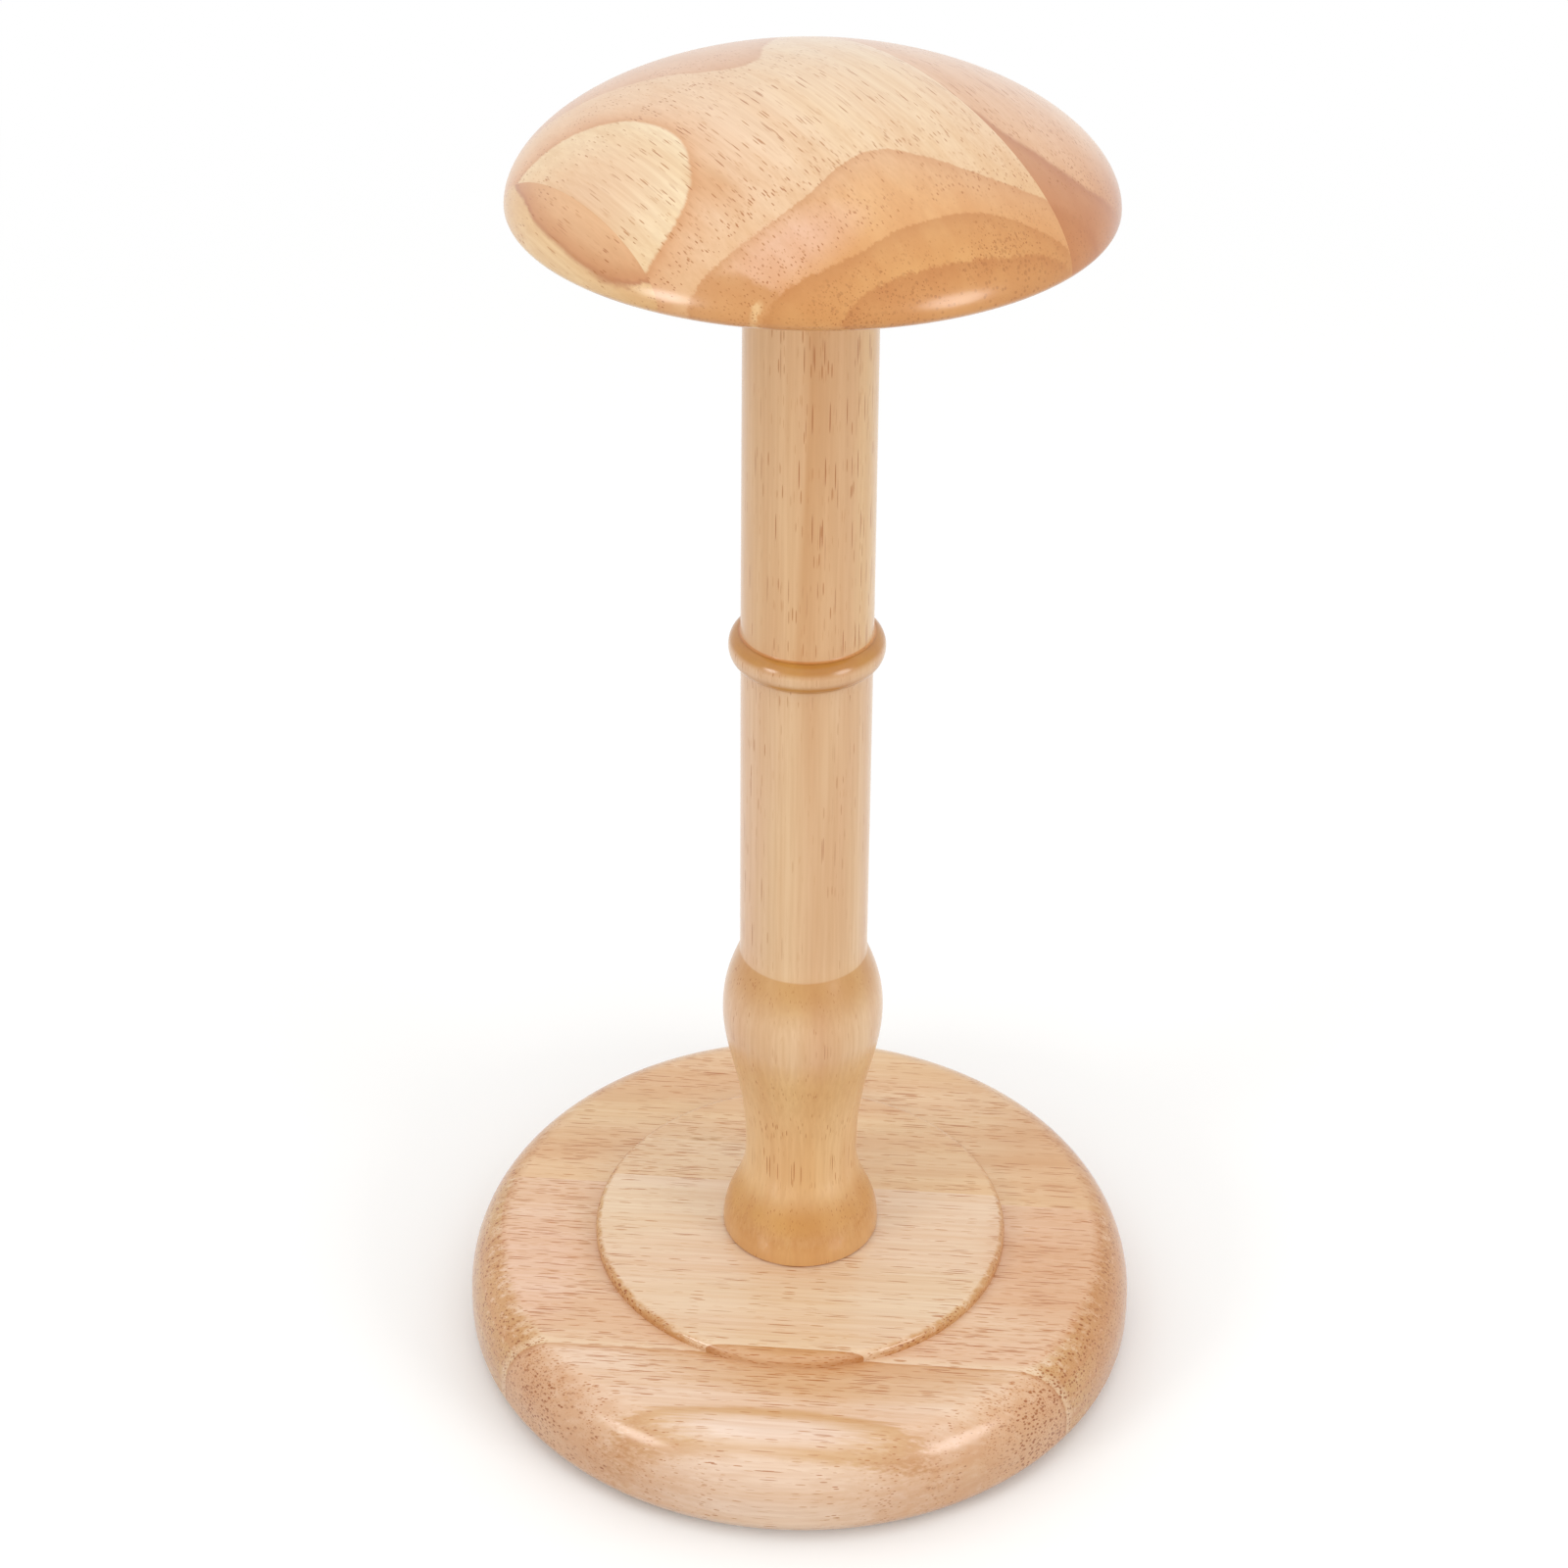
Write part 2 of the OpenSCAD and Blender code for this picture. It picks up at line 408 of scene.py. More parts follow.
@dataclass(frozen=True)
class Rings:
    """Growth rings that run through a whole piece, each dark at its start and fading.

    Attributes:
        normal: direction across the rings in the frame.
        spacing: distance between two rings in mm.
        phase: share of a ring by which they are shifted.
        colour: colour at the dark start of a ring.
        cover: how strongly that colour shows.
        wander: how far the rings stray in mm.
        soft: share of a ring over which its dark start blends.
        wave: length and width in mm of the waves in which they stray.
        end: share of a ring at which its shade has faded.
        fall: power by which the shade fades.
    """

    normal: tuple[float, float, float]
    spacing: float
    phase: float
    colour: str
    cover: float
    wander: float = 2.0
    soft: float = 0.1
    wave: Point = (160.0, 30.0)
    end: float = 0.9
    fall: float = 1.6

    def paint(self, tree: Tree, plan: Socket, fibre: Socket, under: Socket) -> Socket:
        """Add the nodes that lay the rings' shade over the colours under it.

        Args:
            tree: the material's tree.
            plan: place in mm.
            fibre: place in mm with the fibres along X.
            under: colour so far.

        Returns:
            The colour with the rings on it.
        """
        across = Vector(self.normal).normalized() / self.spacing
        count = add(tree, VECTOR_MATH, {0: plan, 1: across}, operation="DOT_PRODUCT")["Value"]
        long = add(tree, VECTOR_MATH, {0: fibre, 1: per_mm(*self.wave)}, operation="MULTIPLY")[0]
        waves = {"Vector": long, "Scale": 1.0, "Detail": 2.0, "Roughness": 0.5}
        stray = add(tree, "ShaderNodeTexNoise", waves)["Fac"]
        reach = 2 * self.wander / self.spacing
        limits = {"Value": stray, "To Min": self.phase - reach, "To Max": self.phase + reach}
        shift = add(tree, MAP_RANGE, limits)[0]
        placed = add(tree, MATH, {0: count, 1: shift}, operation="ADD")[0]
        share = add(tree, MATH, {0: placed}, operation="FRACT")[0]
        fade = add(tree, MAP_RANGE, {"Value": share, "From Min": self.end, "From Max": 0.0})[0]
        dark = add(tree, MATH, {0: fade, 1: self.fall}, operation="POWER")[0]
        limits = {"Value": share, "From Max": self.soft, "To Max": self.cover}
        edge = add(tree, MAP_RANGE, limits, interpolation_type="SMOOTHSTEP")[0]
        cover = add(tree, MATH, {0: dark, 1: edge}, operation="MULTIPLY")[0]
        return add(tree, MIX, {0: cover, 6: under, 7: linear(self.colour)}, data_type="RGBA")[2]


@dataclass(frozen=True)
class Pores:
    """Vessels that the cut opens: dashes along the fibres, dots across them.

    Attributes:
        length: spacing of the vessels along the fibres in mm.
        width: spacing of the vessels across the fibres in mm.
        size: radius of a vessel as a share of its spacing.
        colour: colour in a vessel.
        cover: how strongly that colour shows.
        across: whether they show only where the fibres end at the face.
        core: share of the radius within which the colour is full.
        vary: part of the vessels that goes from none of the colour to all of it.
    """

    length: float
    width: float
    size: float
    colour: str
    cover: float
    across: bool = False
    core: float = 0.72
    vary: float = 0.35

    def mask(self, tree: Tree, fibre: Socket, crowd: Socket, shares: Point) -> Socket:
        """Add the nodes that find the vessels.

        Args:
            tree: the material's tree.
            fibre: place in mm with the fibres along X.
            crowd: bands in which more vessels show.
            shares: share of the vessels that shows outside and inside those bands.

        Returns:
            How strongly a vessel shows at a place.
        """
        cell = {0: fibre, 1: per_mm(self.length, self.width)}
        spread = add(tree, VECTOR_MATH, cell, operation="MULTIPLY")[0]
        cells = add(tree, "ShaderNodeTexVoronoi", {"Vector": spread, "Scale": 1.0})
        limits = {"Value": cells["Distance"], "From Min": self.size, "From Max": self.core * self.size}
        near = add(tree, MAP_RANGE, limits, interpolation_type="SMOOTHSTEP")[0]
        chance = add(tree, "ShaderNodeSeparateXYZ", {0: cells["Color"]})["X"]
        fewest, most = shares
        least = add(tree, MAP_RANGE, {"Value": crowd, "To Min": 1 - fewest, "To Max": 1 - most})[0]
        full = add(tree, MATH, {0: least, 1: self.vary}, operation="ADD")[0]
        limits = {"Value": chance, "From Min": least, "From Max": full, "To Max": self.cover}
        strength = add(tree, MAP_RANGE, limits)[0]
        return add(tree, MATH, {0: near, 1: strength}, operation="MULTIPLY")[0]


# Vessels are about 0.2 mm wide in the wood; they are drawn nearer 0.4 mm, so that they show
FINE_PORES = Pores(length=6.0, width=0.42, size=0.3, colour="#c07e3c", cover=0.45)
SHORT_PORES = Pores(length=8.0, width=0.7, size=0.27, colour="#b4702e", cover=0.75)
LONG_PORES = Pores(length=15.0, width=0.54, size=0.3, colour="#aa6224", cover=0.85)
END_PORES = Pores(length=40.0, width=0.95, size=0.4, colour="#95500f", cover=0.95, across=True)


@dataclass(frozen=True)
class Rubberwood:
    """Clear-varnished rubberwood: pale straw with pink and tan bands under a smooth semi-gloss film.

    To the eye it is warm and even, with brown vessel dashes along the fibres, darker and more orange
    where the fibres end at the face, and a soft reflection of the lamps on its edges.

    Attributes:
        name: the material's name.
        grain: way the fibres run.
        pale: colour of the plain wood.
        blush: colour of its broad pink bands.
        blush_cover: how strongly the pink bands show.
        rings: growth rings through the piece.
        layers: growth layers drawn on the piece.
        seed: shift of the streaks, so that no two boards match.
        band: tint of the darker streaks along the fibres.
        band_cover: how strongly those streaks show.
        hair: colour of the finest streaks.
        hair_cover: how strongly these show along the fibres and where the fibres end.
        stain: tint that the end grain takes on.
        stain_from: cosine between fibres and face at which the stain begins.
        stain_full: cosine between fibres and face at which the stain is full.
        sapwood: pale layers that take no stain.
        stray: how far drawn edges stray in mm.
        stray_size: size in mm of the bends in which they stray.
        comb: share by which single fibres take the stain sooner or later as the face turns.
        feather: how far drawn edges run along single fibres in mm.
        vessels: share of the vessels that shows outside and inside their bands.
        porous: layer in which the vessels crowd, broad streaks where there is none.
        dots: how strongly the vessels' open ends show where the fibres end at the face.
        dots_from: share of the stain at which those ends begin to show.
        groove: depth in mm of the vessels under the film.
    """

    name: str
    grain: Grain
    pale: str
    blush: str
    blush_cover: float = 0.5
    rings: Rings | None = None
    layers: tuple[Layer, ...] = ()
    seed: float = 0.0
    band: str = "#f7ede1"
    band_cover: float = 0.75
    hair: str = "#c58f58"
    hair_cover: Point = (0.22, 0.05)
    stain: str = "#eed7b3"
    stain_from: float = 0.02
    stain_full: float = 0.62
    sapwood: tuple[Layer, ...] = ()
    stray: float = 1.6
    stray_size: float = 1 / 0.14
    comb: float = 0.0
    feather: float = 2.0
    vessels: Point = (0.5, 0.9)
    porous: Layer | None = None
    dots: float = 0.4
    dots_from: float = 0.85
    groove: float = 0.05

    def streaks(self, tree: Tree, fibre: Socket, kind: Streak) -> Socket:
        """Add the nodes for streaks along the fibres.

        Args:
            tree: the material's tree.
            fibre: place in mm with the fibres along X.
            kind: the streaks' size and contrast.

        Returns:
            How strongly a streak shows at a place.
        """
        length, width, contrast = kind.value
        stretch = {"Vector": fibre, "Location": (self.seed, 0.0, 0.0), "Scale": per_mm(length, width)}
        long = add(tree, "ShaderNodeMapping", stretch)[0]
        cloud = {"Vector": long, "Scale": 1.0, "Detail": 3.0, "Roughness": 0.55}
        noise = add(tree, "ShaderNodeTexNoise", cloud)["Fac"]
        limits = {"Value": noise, "From Min": 0.5 - contrast / 2, "From Max": 0.5 + contrast / 2}
        return add(tree, MAP_RANGE, limits, interpolation_type="SMOOTHSTEP")[0]

    def uneven(self, tree: Tree, plan: Socket, fibre: Socket) -> Socket:
        """Add the nodes that make drawn edges stray a little and feather along the fibres.

        Args:
            tree: the material's tree.
            plan: place in mm.
            fibre: place in mm with the fibres along X.

        Returns:
            The place in mm, a little disturbed.
        """
        cloud = {"Vector": plan, "Scale": 1 / self.stray_size, "Detail": 4.0, "Roughness": 0.6}
        noise = add(tree, "ShaderNodeTexNoise", cloud)["Color"]
        middle = add(tree, VECTOR_MATH, {0: noise, 1: (0.5,) * 3}, operation="SUBTRACT")[0]
        scaled = add(tree, VECTOR_MATH, {0: middle, "Scale": self.stray}, operation="SCALE")[0]
        strayed = add(tree, VECTOR_MATH, {0: plan, 1: scaled})[0]
        streak = self.streaks(tree, fibre, Streak.FEATHER)
        limits = {"Value": streak, "To Min": -self.feather, "To Max": self.feather}
        run = {0: self.grain.direction(), "Scale": add(tree, MAP_RANGE, limits)[0]}
        along = add(tree, VECTOR_MATH, run, operation="SCALE")[0]
        return add(tree, VECTOR_MATH, {0: strayed, 1: along})[0]

    def end_grain(self, tree: Tree, fibre: Socket, normal: Socket) -> Socket:
        """Add the nodes that find where the fibres end at the face, combed where it turns.

        Args:
            tree: the material's tree.
            fibre: place in mm with the fibres along X.
            normal: the face's direction on the piece.

        Returns:
            How much of the end grain shows at a place.
        """
        ways = {0: normal, 1: self.grain.direction()}
        facing = add(tree, VECTOR_MATH, ways, operation="DOT_PRODUCT")["Value"]
        ends = add(tree, MATH, {0: facing}, operation="ABSOLUTE")[0]
        streak = self.streaks(tree, fibre, Streak.COMB)
        teeth = add(tree, MAP_RANGE, {"Value": streak, "To Min": 1 - self.comb, "To Max": 1 + self.comb})[0]
        combed = add(tree, MATH, {0: ends, 1: teeth}, operation="MULTIPLY")[0]
        limits = {"Value": combed, "From Min": self.stain_from, "From Max": self.stain_full}
        return add(tree, MAP_RANGE, limits, interpolation_type="SMOOTHSTEP")[0]

    def material(self) -> Material:
        """Build the finish.

        Returns:
            The finished material.
        """
        material = empty_material(self.name)
        tree = material.node_tree
        place = add(tree, "ShaderNodeTexCoord")
        plan = add(tree, "ShaderNodeMapping", {"Vector": place["Object"], "Scale": (1 / MM,) * 3})[0]
        fibre = add(tree, "ShaderNodeMapping", {"Vector": plan, "Rotation": self.grain.value})[0]
        uneven = self.uneven(tree, plan, fibre)
        flush = self.streaks(tree, fibre, Streak.FLUSH)
        ends = self.end_grain(tree, fibre, place["Normal"])

        pink = add(tree, MATH, {0: flush, 1: self.blush_cover}, operation="MULTIPLY")[0]
        colour = add(tree, MIX, {0: pink, 6: linear(self.pale), 7: linear(self.blush)}, data_type="RGBA")[2]
        if self.rings:
            colour = self.rings.paint(tree, plan, fibre, colour)
        for layer in self.layers:
            colour = layer.paint(tree, uneven, colour)
        broad = {0: self.streaks(tree, fibre, Streak.BROAD), 1: self.band_cover}
        band = add(tree, MATH, broad, operation="MULTIPLY")[0]
        tones = {0: band, 6: colour, 7: linear(self.band)}
        colour = add(tree, MIX, tones, data_type="RGBA", blend_type="MULTIPLY")[2]
        limits = {"Value": ends, "To Min": self.hair_cover[0], "To Max": self.hair_cover[1]}
        fine = {0: self.streaks(tree, fibre, Streak.FINE), 1: add(tree, MAP_RANGE, limits)[0]}
        hair = add(tree, MATH, fine, operation="MULTIPLY")[0]
        colour = add(tree, MIX, {0: hair, 6: colour, 7: linear(self.hair)}, data_type="RGBA")[2]
        tones = {0: ends, 6: colour, 7: linear(self.stain)}
        colour = add(tree, MIX, tones, data_type="RGBA", blend_type="MULTIPLY")[2]
        for layer in self.sapwood:
            colour = layer.paint(tree, uneven, colour)

        crowd = self.porous.inside(tree, self.porous.depth(tree, uneven)) if self.porous else flush
        blunt = add(tree, MAP_RANGE, {"Value": ends, "From Min": self.dots_from, "To Max": self.dots})[0]
        for pores in (END_PORES, FINE_PORES, SHORT_PORES, LONG_PORES):
            shown = pores.mask(tree, fibre, crowd, self.vessels)
            if pores.across:
                shown = add(tree, MATH, {0: shown, 1: blunt}, operation="MULTIPLY")[0]
            colour = add(tree, MIX, {0: shown, 6: colour, 7: linear(pores.colour)}, data_type="RGBA")[2]
        # The film sinks a little over the longest vessels, which come last
        sunk = {"Height": shown, "Strength": 0.12, "Distance": self.groove * MM}
        varnish = {
            "Base Color": colour,
            "Roughness": 0.5,
            "IOR": 1.5,
            "Specular IOR Level": 0.2,
            "Normal": add(tree, "ShaderNodeBump", sunk, invert=True)[0],
            "Coat Weight": 1.0,
            "Coat Roughness": 0.22,
            "Coat IOR": 1.5,
        }
        surface = add(tree, "ShaderNodeBsdfPrincipled", varnish)[0]
        add(tree, "ShaderNodeOutputMaterial", {"Surface": surface})
        return material


CAP_LEFT_WOOD = Rubberwood(
    name="varnished_rubberwood_cap_left",
    grain=Grain.CAP,
    pale="#f0cf9f",
    blush="#efcda0",
    layers=(
        LineLayer(
            shades=opaque({0: "#bd7c4e", 0.7: "#d79e6e", 2.5: "#e2af80", 7: "#eaba8a"}),
            edge=(
                (-45, -48), (-28, -60), (-18, -63.5), (-8, -66.3), (3.5, -67.2), (15, -66.5),
                (24.4, -63.9), (30, -60.5), (45, -50),
            ),
            turn=-56.5,
            above=True,
        ),
    ),
    seed=3.0,
    stray=0.6,
    feather=0.5,
    vessels=(0.3, 0.7),
)

CAP_OVAL = {"centre": (-49.5, -34.0), "along": 26.8, "across": 21.8, "turn": -56.5, "soft": 0.6}

CAP_CENTRE_WOOD = Rubberwood(
    name="varnished_rubberwood_cap_centre",
    grain=Grain.CAP,
    pale="#f4d8b1",
    blush="#f0cfad",
    layers=(
        LineLayer(
            shades=opaque({0: "#dcaa80", 8: "#e6b994", 40: "#e9c09c"}),
            edge=(
                (-60, 66), (-26.5, 40.7), (-17.7, 28.3), (-13.1, 18.7), (-7.1, 14.1), (6.4, 21.9),
                (25.5, 38.2), (27.8, 46), (29.2, 62), (60, 99),
            ),
            turn=45.0,
            above=True,
            soft=0.8,
        ),
        OvalLayer(
            shades=((0, "#dba16e", 0.95), (2.5, "#e8b68a", 0.8), (8, "#f2ccaa", 0.6), (30, "#f2ccaa", 0)),
            around=True,
            **CAP_OVAL,
        ),
        OvalLayer(shades=opaque({0: "#f8e2bc", 6: "#f5dab4", 13: "#f0cda6", 20: "#edc8a2"}), **CAP_OVAL),
        OvalLayer(shades=fading("#dba269", 6, 0.7), centre=(-19.5, -43), along=12.0, across=6.0, turn=-50.0),
        LineLayer(
            shades=opaque({0: "#dfaf83", 3: "#e9bc90", 12: "#efc18e", 25: "#eec08c"}),
            edge=(
                (-60, -90), (-25.4, -63.5), (-14.6, -57.7), (-3, -49.2), (5.9, -38.9), (10.4, -34.9),
                (14.8, -33.1), (24.6, -33.4), (37.1, -34.5), (48.7, -33.4), (70, -29),
            ),
        ),
        OvalLayer(shades=fading("#f5cfb9", 5, 1.0), centre=(-6, -60.5), along=21.0, across=8.0, turn=30.0),
        LineLayer(
            shades=opaque({0: "#e0b080", 4: "#e8ba88"}),
            edge=(
                (-60, -90), (-25.4, -63.6), (-20.9, -62.1), (-16.4, -62.6), (-12, -64.4), (-7.5, -66),
                (20, -76),
            ),
            soft=0.7,
        ),
        LineLayer(
            shades=opaque({0: "#d9a46c", 3: "#e5b57e", 12: "#f0c68f"}),
            edge=(
                (-40, -85), (-7.5, -66.8), (5.9, -61.7), (19.3, -53.2), (33.6, -45.6), (41.6, -43.4),
                (53.2, -40.7), (70, -36),
            ),
        ),
        LineLayer(
            shades=opaque({0: "#d69f66", 3: "#e2b078", 10: "#eebf89"}),
            edge=(
                (-20, -85), (8.6, -67), (23.7, -59.9), (32.7, -55.4), (41.6, -50.5), (49.6, -45.2),
                (70, -33),
            ),
        ),
    ),
    sapwood=(
        OvalLayer(shades=fading("#efc890", 0.5, 0.7), centre=(-11.8, -67.4), along=1.7, across=0.7, turn=8.0),
        OvalLayer(shades=fading("#efc594", 0.7, 0.8), centre=(56.6, -37.6), along=2.6, across=1.2, turn=-60),
    ),
    seed=17.0,
    stray=1.0,
    feather=0.5,
    vessels=(0.2, 0.55),
)

CAP_RIGHT_WOOD = Rubberwood(
    name="varnished_rubberwood_cap_right",
    grain=Grain.CAP,
    pale="#eac09a",
    blush="#e4b48f",
    layers=(
        LineLayer(
            shades=opaque({0: "#c18259", 4: "#cf966c", 14: "#d49b6f"}),
            edge=(
                (15, 8), (36.2, -11.2), (39.8, -15.3), (48.7, -19.3), (55, -21), (61.2, -19.7),
                (66.6, -15.7), (80, -4),
            ),
            soft=1.2,
        ),
        LineLayer(
            shades=((0, "#c98b58", 0.9), (6, "#d49a66", 0.9)),
            edge=((30, -45), (50, -34), (62, -31), (80, -30)),
            soft=1.5,
        ),
        # The brownish tint round the right rim is painted shade, darkening the rim where it turns away from
        # the light
        OvalLayer(shades=fading("#d09b7e", 9, 0.85), centre=(71, -12), along=13.0, across=26.0),
    ),
    seed=31.0,
    stray=1.0,
    feather=0.6,
    vessels=(0.3, 0.7),
)

UPPER_COLUMN_WOOD = Rubberwood(
    name="varnished_rubberwood_upper_column",
    grain=Grain.UPRIGHT,
    pale="#e6be8d",
    blush="#e0b286",
    rings=Rings(normal=(0.98, 0.2, 0.0), spacing=15.0, phase=0.35, colour="#cf985e", cover=0.7),
    # The pale tint on the pole's right side is painted light: a painted sheen that makes that side lighter
    # where the right lamp falls on it
    layers=(OvalLayer(shades=fading("#f0ce97", 4, 0.6), centre=(19, -5), along=10.5, across=16.0),),
    seed=5.0,
    stain="#e9c78e",
    stain_full=0.5,
    stain_from=0.1,
    vessels=(0.22, 0.52),
)

LOWER_COLUMN_WOOD = Rubberwood(
    name="varnished_rubberwood_lower_column",
    grain=Grain.UPRIGHT,
    pale="#e6c195",
    blush="#e2b590",
    rings=Rings(normal=(0.78, 0.62, 0.0), spacing=17.0, phase=0.74, colour="#cf9a6c", cover=0.6, soft=0.3),
    layers=(
        LineLayer(shades=fading("#eec87e", 8, 0.3), edge=((-100, 100), (100, 100)), upright=True),
        LineLayer(shades=fading("#d19a5a", 5, 0.75), edge=((-100, 42), (100, 42)), upright=True),
    ),
    seed=11.0,
    stain="#dcbd70",
    stain_full=0.5,
    stain_from=0.1,
    vessels=(0.2, 0.4),
)

BASE_FRONT_GLUE_LINE = ((-100, -44.6), (100, -60.4))

BASE_FRONT_WOOD = Rubberwood(
    name="varnished_rubberwood_base_front",
    grain=Grain.BASE,
    pale="#ebcfb4",
    blush="#e6c5ad",
    layers=(
        OvalLayer(
            shades=((0, "#ddb892", 0), (5, "#d9b188", 0.8), (14, "#d5a87b", 0.95)),
            centre=(6, -53),
            along=56.0,
            across=18.0,
            turn=-4.5,
        ),
        LineLayer(shades=((0, "#c7945f", 0.9), (1.4, "#c7945f", 0)), edge=BASE_FRONT_GLUE_LINE),
        OvalLayer(
            shades=opaque({0: "#d2a676", 1.6: "#dab48a", 4.4: "#f0d9c7"}),
            centre=(-8, -78.8),
            along=40.0,
            across=7.3,
            turn=-5.0,
            soft=0.8,
        ),
        # The pale patch over the cathedral's lower outline is a painted sheen, where the lamps' soft
        # reflection runs along the front edge
        OvalLayer(shades=fading("#eed5c1", 3.5, 0.5), centre=(-20, -86), along=30.0, across=5.0, turn=-5.0),
    ),
    seed=41.0,
    stain="#e9d2b8",
    comb=0.3,
    feather=7.0,
    vessels=(0.4, 1.0),
    porous=LineLayer(shades=(), soft=9.0, edge=((-100, -62), (100, -74)), above=True),
    dots=1.0,
)

BASE_CENTRE_WOOD = Rubberwood(
    name="varnished_rubberwood_base_centre",
    grain=Grain.BASE,
    pale="#e9d2b3",
    blush="#e8cab0",
    rings=Rings(
        normal=(0.0, 0.01, 1.0), spacing=6.0, phase=-0.5, colour="#dda984", cover=0.6, wander=0.6
    ),
    layers=(
        OvalLayer(shades=fading("#dcae88", 14, 0.65), centre=(84, -18), along=38.0, across=38.0),
        OvalLayer(shades=fading("#eeccb7", 9, 0.55), centre=(-73, -16), along=17.0, across=34.0),
    ),
    sapwood=(
        LineLayer(
            shades=((0, "#ebcfad", 0.5), (1, "#ebcfad", 0.45), (2.6, "#ebcfad", 0)),
            edge=BASE_FRONT_GLUE_LINE,
            above=True,
        ),
    ),
    seed=53.0,
    stain="#e0c497",
    comb=0.6,
    vessels=(0.45, 1.0),
    porous=OvalLayer(shades=(), soft=6.0, along=56.0, across=56.0, around=True),
    dots=1.0,
)

BASE_REAR_WOOD = Rubberwood(
    name="varnished_rubberwood_base_rear",
    grain=Grain.BASE,
    pale="#e8c9a0",
    blush="#e0b792",
    rings=Rings(normal=(0.0, 0.3, 1.0), spacing=9.0, phase=0.2, colour="#d6a87c", cover=0.5, wander=1.5),
    layers=(
        OvalLayer(shades=fading("#ead0ae", 9, 0.75), centre=(-32, 24), along=30.0, across=20.0),
        OvalLayer(shades=fading("#a97b42", 0.9, 0.8), centre=(-29.4, 32.9), along=3.0, across=1.0),
        OvalLayer(shades=fading("#b5894f", 0.9, 0.7), centre=(-24.6, 32.9), along=2.2, across=1.1),
        OvalLayer(shades=fading("#d6a87c", 14, 0.7), centre=(85, 30), along=40.0, across=30.0),
    ),
    seed=67.0,
    stain="#e4c99e",
    comb=0.5,
    dots=1.0,
)

# The boards of each blank, in their order across the grain
CAP_BOARDS = (("left", CAP_LEFT_WOOD), ("centre", CAP_CENTRE_WOOD), ("right", CAP_RIGHT_WOOD))
BASE_BOARDS = (("front", BASE_FRONT_WOOD), ("centre", BASE_CENTRE_WOOD), ("rear", BASE_REAR_WOOD))


@dataclass(frozen=True)
class PlatedMetal:
    """Plated metal off a machine: an even bright film with a faint drawn grain round the piece.

    Attributes:
        name: the material's name.
        colour: the plating's colour.
        stain: colour where the plating is thinner.
        roughness: how dull the plating is.
        patch: size of the thinner patches in mm.
        grain: length and width of the drawn grain in mm.
        scratch: depth of that grain in mm.
    """

    name: str
    colour: str
    stain: str
    roughness: float
    patch: float = 3.0
    grain: Point = (1.0, 1 / 12)
    scratch: float = 0.02

    def material(self) -> Material:
        """Build the finish.

        Returns:
            The finished material.
        """
        material = empty_material(self.name)
        tree = material.node_tree
        place = add(tree, "ShaderNodeTexCoord")["Object"]
        cloud = {"Vector": place, "Scale": 1 / (self.patch * MM), "Detail": 3.0}
        patches = add(tree, "ShaderNodeTexNoise", cloud)["Fac"]
        tones = {0: patches, 6: linear(self.colour), 7: linear(self.stain)}
        colour = add(tree, MIX, tones, data_type="RGBA")[2]
        length, width = (size * MM for size in self.grain)
        round_piece = {"Vector": place, "Scale": (1 / length, 1 / length, 1 / width)}
        drawn = add(tree, "ShaderNodeMapping", round_piece)[0]
        grain = add(tree, "ShaderNodeTexNoise", {"Vector": drawn, "Scale": 0.8})["Fac"]
        relief = {"Height": grain, "Strength": 0.2, "Distance": self.scratch * MM}
        plating = {
            "Base Color": colour,
            "Metallic": 1.0,
            "Roughness": self.roughness,
            "Normal": add(tree, "ShaderNodeBump", relief)[0],
        }
        surface = add(tree, "ShaderNodeBsdfPrincipled", plating)[0]
        add(tree, "ShaderNodeOutputMaterial", {"Surface": surface})
        return material


ZINC_STEEL = PlatedMetal("zinc_plated_steel", "#b9bcc0", "#a5a8ad", 0.32)
YELLOW_ZINC = PlatedMetal("yellow_passivated_zinc", "#cba85c", "#b98f52", 0.34)


@dataclass(frozen=True)
class Thread:
    """A screw thread on a turned piece, in mm.

    Attributes:
        pitch: rise of one turn.
        depth: how far it is cut, negative for a thread cut outwards in a bore.
        low: height of its lower end.
        high: height of its upper end.
        inner: least radius that it is cut into.
        outer: largest radius that it is cut into.
    """

    pitch: float
    depth: float
    low: float
    high: float
    inner: float
    outer: float

    def inputs(self) -> dict[str, float]:
        """Give the thread's sizes in metres for the threading tree."""
        return {name.capitalize(): value * MM for name, value in vars(self).items()}


